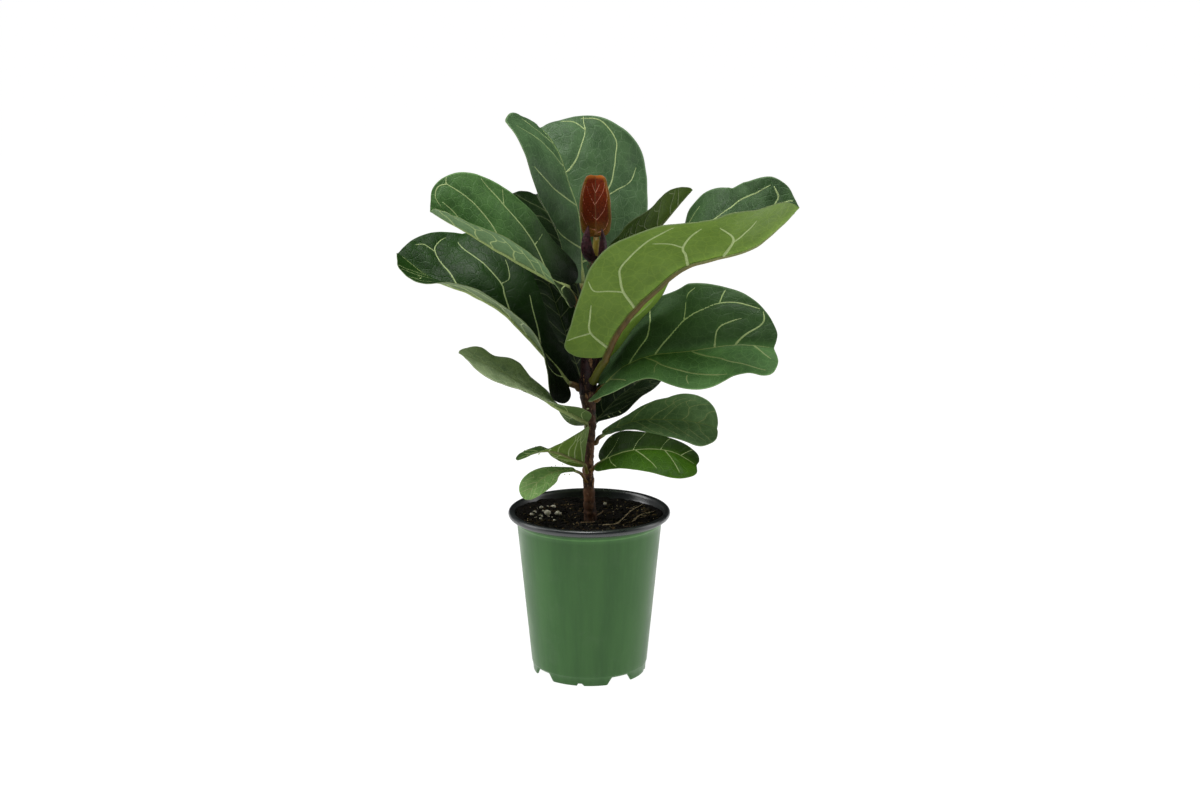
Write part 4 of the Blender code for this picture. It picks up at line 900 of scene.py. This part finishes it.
def plastic_look(name, dark, light, rough_low, rough_high, streak=0.5, shaded=0.85, shine=0.35):
    """Moulded plastic with faint upright flow marks, dust and fine scuffs."""
    n = Look(name, Specular_IOR_Level=shine)
    spot = n.position()
    upright = n.noise(n.stretch(spot, (1, 1, 0.05)), 60.0, 3.0, 0.55)
    fine = n.noise(n.stretch(spot, (1, 1, 0.08)), 420.0, 2.0, 0.5)
    dust = n.noise(spot, 35.0, 5.0, 0.65)
    speck = n.spread(n.noise(spot, 1400.0, 2.0, 0.5), 0.68, 0.8)
    colour = n.mix(n.spread(upright, 0.3, 0.7), (*dark, 1), (*light, 1))
    bright = tuple(1.35 * c for c in light) + (1,)
    colour = n.mix(n.spread(fine, 0.4, 0.8, 0.0, 0.25 * streak), colour, bright)
    colour = n.mix(n.spread(dust, 0.5, 0.8, 0.0, 0.06), colour, (0.30, 0.32, 0.28, 1))
    colour = n.mix(n.math("MULTIPLY", speck, 0.15), colour, (0.35, 0.35, 0.30, 1))
    height = n.part(spot, "Z")
    # the neck under the lip in shadow, and the ledge below it catching light
    below = n.math("MULTIPLY", n.spread(height, 0.1437, 0.1466), shaded)
    colour = n.mix(below, colour, n.stretch(colour, (0.22, 0.28, 0.24)))
    ledge = n.math("MULTIPLY", n.spread(height, 0.1415, 0.1425), n.spread(height, 0.1439, 0.1429))
    colour = n.mix(n.math("MULTIPLY", ledge, shaded), colour, n.stretch(colour, (2.0, 1.7, 1.9)))
    rough = n.spread(dust, 0.3, 0.7, rough_low, rough_high)
    normal = n.bump(upright, 0.25 * streak, 0.5)
    normal = n.bump(fine, 0.2, 0.05, normal)
    return n.finish(colour, rough, normal)


def soil_look():
    """Damp dark potting mix, each loose bit with a colour of its own."""
    n = Look("potting_mix", Specular_IOR_Level=0.15)
    spot = n.position()
    tint = n.attribute("tint")
    clod = n.noise(spot, 260.0, 6.0, 0.7)
    fibre = n.noise(n.stretch(spot, (1, 0.3, 0.6)), 1500.0, 4.0, 0.6)
    colour = n.mix(n.spread(clod, 0.35, 0.7), n.stretch(tint, (0.45, 0.45, 0.45)),
                   n.stretch(tint, (1.3, 1.3, 1.3)))
    colour = n.mix(n.spread(fibre, 0.58, 0.75, 0.0, 0.5), colour, n.stretch(tint, (2.4, 2.0, 1.7)))
    rough = n.spread(clod, 0.3, 0.7, 0.60, 0.95)
    normal = n.bump(clod, 0.9, 1.2)
    normal = n.bump(fibre, 0.5, 0.3, normal)
    return n.finish(colour, rough, normal)


def grain_look(name, dark, light, scale, rough):
    """A rough dry thing, such as perlite, a twig or a papery scale."""
    n = Look(name, Specular_IOR_Level=0.25)
    spot = n.position()
    clod = n.noise(spot, scale, 5.0, 0.65)
    pit = n.cells(spot, scale * 1.8, "F1", "3D")
    colour = n.mix(n.spread(clod, 0.3, 0.7), (*dark, 1), (*light, 1))
    normal = n.bump(n.math("ADD", clod, pit), 0.7, 0.5)
    return n.finish(colour, n.spread(clod, 0.3, 0.7, rough - 0.15, rough), normal)


# ---------------------------------------------------------------- stem, soil, pot

def build_stem(look, scrap, sheath):
    """Woody stem with leaf scars, ridges and the dry scraps of old stipules."""
    build = Builder()
    around = 48
    heights = np.linspace(STEM[0][2], STEM[-1][2] - 0.6, 300)
    centre = spline([row[:3] for row in STEM], np.linspace(0, 1, 900))
    path = np.column_stack([np.interp(heights, centre[:, 2], centre[:, 0]),
                            np.interp(heights, centre[:, 2], centre[:, 1]), heights])
    radii = np.interp(heights, [row[2] for row in STEM], [row[3] for row in STEM])
    scars = sorted([leaf.attach for name, leaf in LEAVES.items() if name != "young_leaf"] + list(OLD_SCARS))
    angles = full_turn(around)
    rings = []
    for k, z in enumerate(heights):
        ring = 0.0
        for m, node in enumerate(scars):
            gap = z - node
            swell = 0.45 * math.exp(-(gap / 2.2) ** 2) - 0.30 * math.exp(-((gap - 2.6) / 0.8) ** 2)
            turn = np.cos(angles - 2.4 * m) * 0.35 * math.exp(-(gap / 3.0) ** 2)
            ring = ring + swell + turn
        spots = np.column_stack([np.cos(angles) * radii[k], np.sin(angles) * radii[k], np.full(around, z)])
        rough = (0.30 * noise_at(spots * (1, 1, 0.35), 1.7, 3) + 0.32 * noise_at(spots, 4.5, 9)
                 + 0.14 * noise_at(spots, 0.9, 5))
        reach = radii[k] + ring + rough
        rings.append(np.column_stack([path[k, 0] + reach * np.cos(angles),
                                      path[k, 1] + reach * np.sin(angles), np.full(around, z)]))
    top = path[-1:] + np.array([0, 0, 0.8])
    build.add(np.vstack(rings + [path[:1], top]), ring_faces(len(rings), around), 0)
    # dry scraps, most of them on the upper part
    draw = np.random.default_rng(12)
    for k in range(46):
        z = draw.uniform(268, 384) if k < 36 else draw.uniform(168, 262)
        x, y, radius = stem_at(z)
        turn = draw.uniform(0, 2 * math.pi)
        out = np.array([math.cos(turn), math.sin(turn), 0])
        length, wide = draw.uniform(4, 11), draw.uniform(0.6, 1.5)
        lean = draw.uniform(0.05, 0.45)
        share = np.linspace(0, 1, 7)[:, None]
        start = np.array([x, y, z]) + out * (radius - 0.1)
        points = start + out * lean * length * share ** 1.6 + np.array([0, 0, 1.0]) * length * share
        points = points + np.cross(out, (0, 0, 1)) * draw.uniform(-1.5, 1.5) * share ** 2
        width = wide * np.sin(math.pi * (0.12 + 0.86 * share[:, 0]))
        strip, faces = tube(points, np.repeat(out[None], 7, axis=0),
                            lambda i: oval_ring(max(width[i], 0.12), 0.22, 0.22, 8, 1))
        build.add(strip, faces, 1)
    add_sheaths(build, 2)
    build.make("fig_stem", [look, scrap, sheath], ["stem"])


def soil_height(x, y):
    """Height of the mix: level round the stem and higher against the wall, least of all at the back right."""
    rise = np.clip((np.hypot(x, y) - SOIL_FLAT) / (SOIL_RIM - SOIL_FLAT), 0, 1)
    back = np.clip((y + 0.35 * x) / SOIL_RIM, 0, 1)
    return SOIL_Z + (7.6 - 4.2 * back) * rise ** 1.4


def soil_bumps(points):
    """Unevenness of the mix at each point."""
    return 1.5 * noise_at(points, 11, 1) + 0.9 * noise_at(points, 4.3, 2) + 0.55 * noise_at(points, 1.9, 4)


def lump(build, draw, centre, size, tint):
    """A small irregular lump, a little flat, turned at random."""
    made = bmesh.new()
    bmesh.ops.create_icosphere(made, subdivisions=1 if max(size) < 2.4 else 2, radius=1)
    points = np.array([v.co[:] for v in made.verts])
    faces = [tuple(v.index for v in f.verts) for f in made.faces]
    made.free()
    points *= 1 + 0.28 * noise_at(points, 0.9, draw.uniform(0, 50))[:, None]
    points *= np.array([size[0], size[1], size[2] * 0.75])
    turn, tip = draw.uniform(0, 2 * math.pi), draw.uniform(-0.5, 0.5)
    spin = np.array([[math.cos(turn), -math.sin(turn), 0], [math.sin(turn), math.cos(turn), 0], [0, 0, 1]])
    lean = np.array([[1, 0, 0], [0, math.cos(tip), -math.sin(tip)], [0, math.sin(tip), math.cos(tip)]])
    build.add(points @ (spin @ lean).T + centre, faces, 0, tint=tint)


def build_soil(look):
    """The filled mix with its bumpy surface, loose bits and fibres."""
    build = Builder()
    around, rings = 200, 62
    angles = full_turn(around)
    reach = np.linspace(0, SOIL_RIM, rings + 1)[1:]
    grid = np.array([[r * math.cos(a), r * math.sin(a), 0] for r in reach for a in angles])
    grid[:, 2] = soil_height(grid[:, 0], grid[:, 1]) + soil_bumps(grid)
    skirt = [(64.1, 138.0), (51.6, 12.2)]
    low = np.array([[r * math.cos(a), r * math.sin(a), z] for r, z in skirt for a in angles])
    verts = np.vstack([[[0, 0, SOIL_Z]], grid, low, [[0, 0, 12.2]]])
    faces = [(0, 1 + j, 1 + (j + 1) % around) for j in range(around)]
    for k in range(rings + 1):
        for j in range(around):
            nxt = (j + 1) % around
            near, far = 1 + k * around, 1 + (k + 1) * around
            faces.append((near + j, far + j, far + nxt, near + nxt))
    last = 1 + (rings + 1) * around
    faces += [(len(verts) - 1, last + (j + 1) % around, last + j) for j in range(around)]
    build.add(verts, faces, 0, tint=(0.010, 0.0075, 0.006))
    draw = np.random.default_rng(7)
    browns = ((0.006, 0.005, 0.004), (0.018, 0.013, 0.007), (0.055, 0.036, 0.015), (0.150, 0.105, 0.045),
              (0.030, 0.028, 0.016))
    # loose bits, every twelfth one small and pale
    for k in range(900):
        r, turn = 63.0 * math.sqrt(draw.uniform(0.01, 1)), draw.uniform(0, 2 * math.pi)
        spot = np.array([r * math.cos(turn), r * math.sin(turn), 0])
        spot[2] = soil_height(spot[0], spot[1]) + soil_bumps(spot[None])[0] + 0.2
        size = draw.uniform(0.5, 1.5, 3) * draw.choice((0.8, 1.2, 2.0), p=(0.55, 0.33, 0.12))
        tint = browns[draw.choice(5, p=(0.36, 0.22, 0.17, 0.10, 0.15))]
        if k % 12 == 0:
            size, tint = draw.uniform(0.4, 1.0, 3), (0.46, 0.38, 0.22)
        lump(build, draw, spot, size, tint)
    # short fibres lying flat, mostly pale brown
    for k in range(60):
        r, turn = 60.0 * math.sqrt(draw.uniform(0.02, 1)), draw.uniform(0, 2 * math.pi)
        heading, length = draw.uniform(0, 2 * math.pi), draw.uniform(2.5, 9)
        share = np.linspace(-0.5, 0.5, 6)
        xs = r * math.cos(turn) + length * share * math.cos(heading) + 1.2 * np.sin(share * 5)
        ys = r * math.sin(turn) + length * share * math.sin(heading)
        line = np.column_stack([xs, ys, np.zeros(6)])
        line[:, 2] = soil_height(xs, ys) + soil_bumps(line) + 0.35
        radius = draw.uniform(0.14, 0.4)
        strip, strand = tube(line, np.repeat([[0, 0, 1.0]], 6, axis=0),
                             lambda i: oval_ring(radius, radius, radius, 6, 1))
        build.add(strip, strand, 0, tint=browns[3] if k % 3 else (0.20, 0.13, 0.075))
    build.make("mix_surface", [look], ["potting_mix"])


def build_perlite(look):
    """The six large grains, and small ones scattered round them."""
    build = Builder()
    draw = np.random.default_rng(5)
    for x, y, radius in PERLITE:
        z = soil_height(x, y) + radius * 0.75
        lump(build, draw, np.array([x, y, z]), np.array([radius, radius * 0.92, radius]), (0, 0, 0))
    for k in range(26):
        x, y = draw.normal(-40, 9), draw.normal(13, 12)
        if math.hypot(x, y) < 60:
            radius = draw.uniform(0.5, 1.5)
            z = soil_height(x, y) + soil_bumps(np.array([[x, y, 0]]))[0] + radius * 0.5
            lump(build, draw, np.array([x, y, z]), np.full(3, radius), (0, 0, 0))
    build.make("perlite_grains", [look], [f"perlite_{k}" for k in range(1, 7)])


def build_strands(name, paths, radius, look, nodes, sprigs):
    """Roots or twigs lying on the mix, with small side sprigs."""
    build = Builder()
    draw = np.random.default_rng(3)
    for path in paths:
        line = spline(path, np.linspace(0, 1, 40))
        extra = []
        for k in range(sprigs):
            start = line[6 + k * 9 % 30]
            heading = draw.uniform(0, 2 * math.pi)
            tip = start + draw.uniform(4, 9) * np.array([math.cos(heading), math.sin(heading)])
            bent = (start + tip) / 2 + draw.uniform(-1, 1, 2)
            extra.append((spline([start, bent, tip], np.linspace(0, 1, 10)), 0.35))
        for points, share in [(line, 1.0)] + extra:
            places = np.column_stack([points, np.zeros(len(points))])
            bend = noise_at(places, 5, 8)
            places[:, 0] += bend * 0.9
            places[:, 2] = soil_height(places[:, 0], places[:, 1]) + radius * share + 0.7 + 0.5 * bend
            count = len(points)
            strip, faces = tube(places, np.repeat([[0, 0, 1.0]], count, axis=0),
                                lambda i: oval_ring(*[radius * share * (1 - 0.5 * i / count)] * 3, 8, 1))
            build.add(strip, faces, 0)
    build.make(name, [look], nodes)


def build_pot(green, black):
    """The pot as one turned wall with a rolled lip, its foot cut by notches and slots."""
    build = Builder()
    around = 288
    angles = full_turn(around)
    # (radius, height) from the middle of the floor out, up the wall, over the lip and back in
    base = [(30.0, 9.0), (51.1, 9.0), (51.0, 8.2)]
    foot = [(50.5, 2.5), (50.3, 0.6), (50.6, 0.12), (51.1, 0.0), (51.7, 0.0), (52.1, 0.15), (52.3, 0.7),
            (52.5, 3.0)]
    outside = [(53.0, 8.2), (53.55, 8.6), (53.7, 9.2)]
    outside += [(53.7 + 0.0972 * (z - 9), z) for z in range(14, 136, 6)]
    outside += [(66.2, 137.8), (66.62, 142.1), (67.3, 142.7), (67.5, 143.2), (67.9, 145.0), (68.9, 146.6),
                (69.4, 147.3)]
    lip = [(LIP_RADIUS + 2.9 * math.cos(a), LIP_Z + 3.1 * math.sin(a))
           for a in np.radians(np.arange(-84, 124, 12))]
    inside = [(69.1, 152.2), (68.5, 150.6), (68.1, 147.5), (66.2, 143.2), (65.3, 142.4), (64.4, 132.0),
              (58.2, 70.0), (52.8, 14.0), (51.6, 10.6), (30.0, 10.4)]
    profile = base + foot + outside + lip + inside
    degrees = np.degrees(angles) + 90
    notch = np.zeros(around)
    for middle in NOTCH_ANGLES:
        # a wide notch, and a small slot halfway to the next: half width, width of its slope, height
        for centre, half, slope, high in ((middle, 13.2, 4.6, 6.9), (middle + 45, 3.0, 0.9, 2.2)):
            gap = np.abs((degrees - centre + 180) % 360 - 180) * math.pi / 180 * FOOT_RADIUS
            notch = np.maximum(notch, np.clip((half - gap) / slope, 0, 1) * high)
    rings = []
    for radius, z in profile:
        level = np.full(around, z)
        if z < 8.0:
            level = z + (notch * (8.0 - z) / 8.0)
        rings.append(np.column_stack([radius * np.cos(angles), radius * np.sin(angles), level]))
    verts = np.vstack(rings + [[[0, 0, base[0][1]]], [[0, 0, inside[-1][1]]]])
    green_bands = len(base) + len(foot) + len(outside) - 1
    black_bands = len(profile) - 1 - green_bands
    slots = [0] * (green_bands * around) + [1] * (black_bands * around) + [0, 1] * around
    build.add(verts, ring_faces(len(profile), around), slots)
    pot = build.make("nursery_pot", [green, black], ["pot"])
    for angle in NOTCH_ANGLES:
        turn = math.radians(angle - 90)
        bpy.ops.mesh.primitive_cylinder_add(vertices=32, radius=5.5 * MM, depth=12 * MM)
        drill = bpy.context.object
        drill.location = (36 * MM * math.cos(turn), 36 * MM * math.sin(turn), 9.7 * MM)    # through the floor
        cut = pot.modifiers.new("drain", "BOOLEAN")
        cut.operation = "DIFFERENCE"
        cut.solver = "EXACT"
        cut.object = drill
    bpy.context.view_layer.update()
    whole = pot.evaluated_get(bpy.context.evaluated_depsgraph_get())
    pot.data = bpy.data.meshes.new_from_object(whole)
    for cut in list(pot.modifiers):
        drill = cut.object
        pot.modifiers.remove(cut)
        bpy.data.objects.remove(drill)


def add_scale(build, midrib, facing, half_width, seed, slot):
    """A pointed papery scale, hollow on one face."""
    leaf = Leaf(0, (), midrib, (facing, facing), half_width, (LANCE, LANCE), ((8, 8), (8, 8)),
                curl=((26, 26), (26, 26)), wave=((0, 1, 0), (0, 1, 0)))
    blade = Blade(leaf, seed)
    s, t, near, index, faces = blade.sheet(36, np.linspace(-1, 1, 19))
    points, up = blade.base(s, t), blade.normal(s, t)
    spots = np.column_stack([s * 9, t * 9, np.zeros(len(s))])
    points = points + up * (0.25 * noise_at(spots, 1.6, seed))[:, None]
    half_thick = 0.35
    start = build.count
    build.add(points + up * half_thick, faces, slot)
    build.add(points - up * half_thick, [f[::-1] for f in faces], slot)
    ring = margin(index)
    low = start + len(points)
    for k in range(len(ring)):
        m = (k + 1) % len(ring)
        build.faces.append((start + ring[k], start + ring[m], low + ring[m], low + ring[k]))
        build.slots.append(slot)


def build_stipules(look):
    """The two scales beside the young leaf."""
    for seed, (name, (midrib, facing, half_width)) in enumerate(STIPULES.items(), 40):
        build = Builder()
        add_scale(build, midrib, facing, half_width, seed, 0)
        build.make(name.replace("stipule", "tip_stipule"), [look], [name])


def add_sheaths(build, slot):
    """Dark scales left by older leaves, wrapped round the upper part of the stem."""
    for k, (z, turn, length, wide, lean) in enumerate(SHEATHS):
        x, y, radius = stem_at(z)
        out = np.array([math.cos(math.radians(turn)), math.sin(math.radians(turn)), 0])
        points = []
        for share in (0, 0.33, 0.67, 1):
            cx, cy, reach = stem_at(z + length * share)
            points.append(np.array([cx, cy, z + length * share]) + out * (reach + 0.9 + lean * share ** 2))
        add_scale(build, tuple(map(tuple, points)), tuple(-out + np.array([0, 0, 0.1])), wide, 60 + k, slot)


# ---------------------------------------------------------------- stage, light, camera

def area_light(name, place, target, size, power):
    lamp = bpy.data.lights.new(name, "AREA")
    lamp.shape = "RECTANGLE"
    lamp.size, lamp.size_y = size
    lamp.energy = power
    made = bpy.data.objects.new(name, lamp)
    made.location = place
    made.rotation_euler = (Vector(target) - Vector(place)).to_track_quat("-Z", "Y").to_euler()
    bpy.context.scene.collection.objects.link(made)


def build_stage():
    """A plain bright floor, a world that is brighter behind and at the sides, and three lamps."""
    shaped = bmesh.new()
    bmesh.ops.create_grid(shaped, x_segments=8, y_segments=8, size=60)
    mesh = bpy.data.meshes.new("studio_floor")
    shaped.to_mesh(mesh)
    shaped.free()
    n = Look("studio_floor", Roughness=0.9, Specular_IOR_Level=0.0, Emission_Color=(1, 1, 1, 1),
             Emission_Strength=1.0)
    soft = n.noise(n.position(), 0.8, 2.0, 0.5)
    mesh.materials.append(n.finish(n.mix(soft, (0.12, 0.12, 0.12, 1), (0.15, 0.15, 0.15, 1))))
    floor = bpy.data.objects.new("studio_floor", mesh)
    floor.location.z = -0.0004
    bpy.context.scene.collection.objects.link(floor)
    world = bpy.data.worlds.new("studio")
    world.use_nodes = True
    n = Tree(world.node_tree)
    away = n.position("Generated")
    depth = n.spread(n.part(away, "Y"), -0.7, 0.6, 0.10, 0.55, "LINEAR")
    sides = n.spread(n.math("ABSOLUTE", n.part(away, "X")), 0.55, 1.0, 0.0, 0.55, "LINEAR")
    n.link(n.math("ADD", depth, sides), n.tree.nodes["Background"].inputs["Strength"])
    bpy.context.scene.world = world
    area_light("top_light", (-0.2, -0.2, 1.9), (0, 0, 0.3), (1.3, 1.1), 30)
    area_light("left_light", (-1.5, 0.1, 1.0), (0, 0, 0.3), (0.8, 1.4), 12)
    area_light("right_light", (1.6, 0.2, 0.8), (0, 0, 0.3), (0.7, 1.4), 8)


def build_camera():
    """The camera of the photo, in metres: a little above the plant and looking down at it."""
    eye = bpy.data.cameras.new("camera")
    eye.sensor_width = 36.0
    eye.lens = 59.1
    made = bpy.data.objects.new("camera", eye)
    made.location = (0.0099, -1.747, 0.653)
    made.rotation_euler = (math.radians(90 - 12.8), 0, 0)
    bpy.context.scene.collection.objects.link(made)
    bpy.context.scene.camera = made


def main():
    build_camera()
    build_stage()
    scene = bpy.context.scene
    scene.view_settings.view_transform = "Standard"
    vein = vein_look("leaf_vein", (0.46, 0.56, 0.25), (0.32, 0.42, 0.16), (0.060, 0.036, 0.010))
    rib = vein_look("leaf_rib", (0.38, 0.47, 0.18), (0.25, 0.33, 0.10), (0.078, 0.042, 0.008))
    looks = [leaf_top_look(), leaf_under_look(), vein, rib]
    pink = vein_look("young_vein", (0.80, 0.36, 0.26), (0.60, 0.22, 0.15), (0.14, 0.10, 0.02))
    stalk = vein_look("young_stalk", (0.24, 0.10, 0.03), (0.15, 0.06, 0.015), (0.17, 0.125, 0.012))
    for seed, (name, leaf) in enumerate(LEAVES.items(), 1):
        if name == "young_leaf":
            young = young_look()
            build_leaf(name, leaf, seed, [young, young, pink, stalk])
        else:
            build_leaf(name, leaf, seed, looks)
    build_stipules(grain_look("stipule", (0.018, 0.005, 0.008), (0.075, 0.022, 0.030), 300.0, 0.5))
    scrap = grain_look("dry_scrap", (0.10, 0.045, 0.018), (0.34, 0.19, 0.09), 500.0, 0.8)
    sheath = grain_look("dark_sheath", (0.006, 0.003, 0.004), (0.036, 0.012, 0.012), 350.0, 0.6)
    build_stem(bark_look(), scrap, sheath)
    build_soil(soil_look())
    build_perlite(grain_look("perlite", (0.60, 0.54, 0.38), (0.95, 0.92, 0.80), 700.0, 0.95))
    wood = grain_look("dry_wood", (0.10, 0.06, 0.03), (0.30, 0.21, 0.12), 600.0, 0.85)
    build_strands("mix_twigs", TWIGS, 0.8, wood, ["twig_1", "twig_2"], 0)
    root = grain_look("pale_root", (0.28, 0.20, 0.11), (0.62, 0.50, 0.32), 600.0, 0.85)
    build_strands("mix_roots", SURFACE_ROOTS, 0.75, root, ["surface_root_1", "surface_root_2"], 4)
    green = plastic_look("pot_green", (0.030, 0.118, 0.020), (0.044, 0.150, 0.028), 0.28, 0.40)
    black = plastic_look("pot_black", (0.012, 0.016, 0.017), (0.022, 0.027, 0.028), 0.26, 0.40, streak=0.3,
                         shaded=0.0, shine=0.9)
    build_pot(green, black)


main()
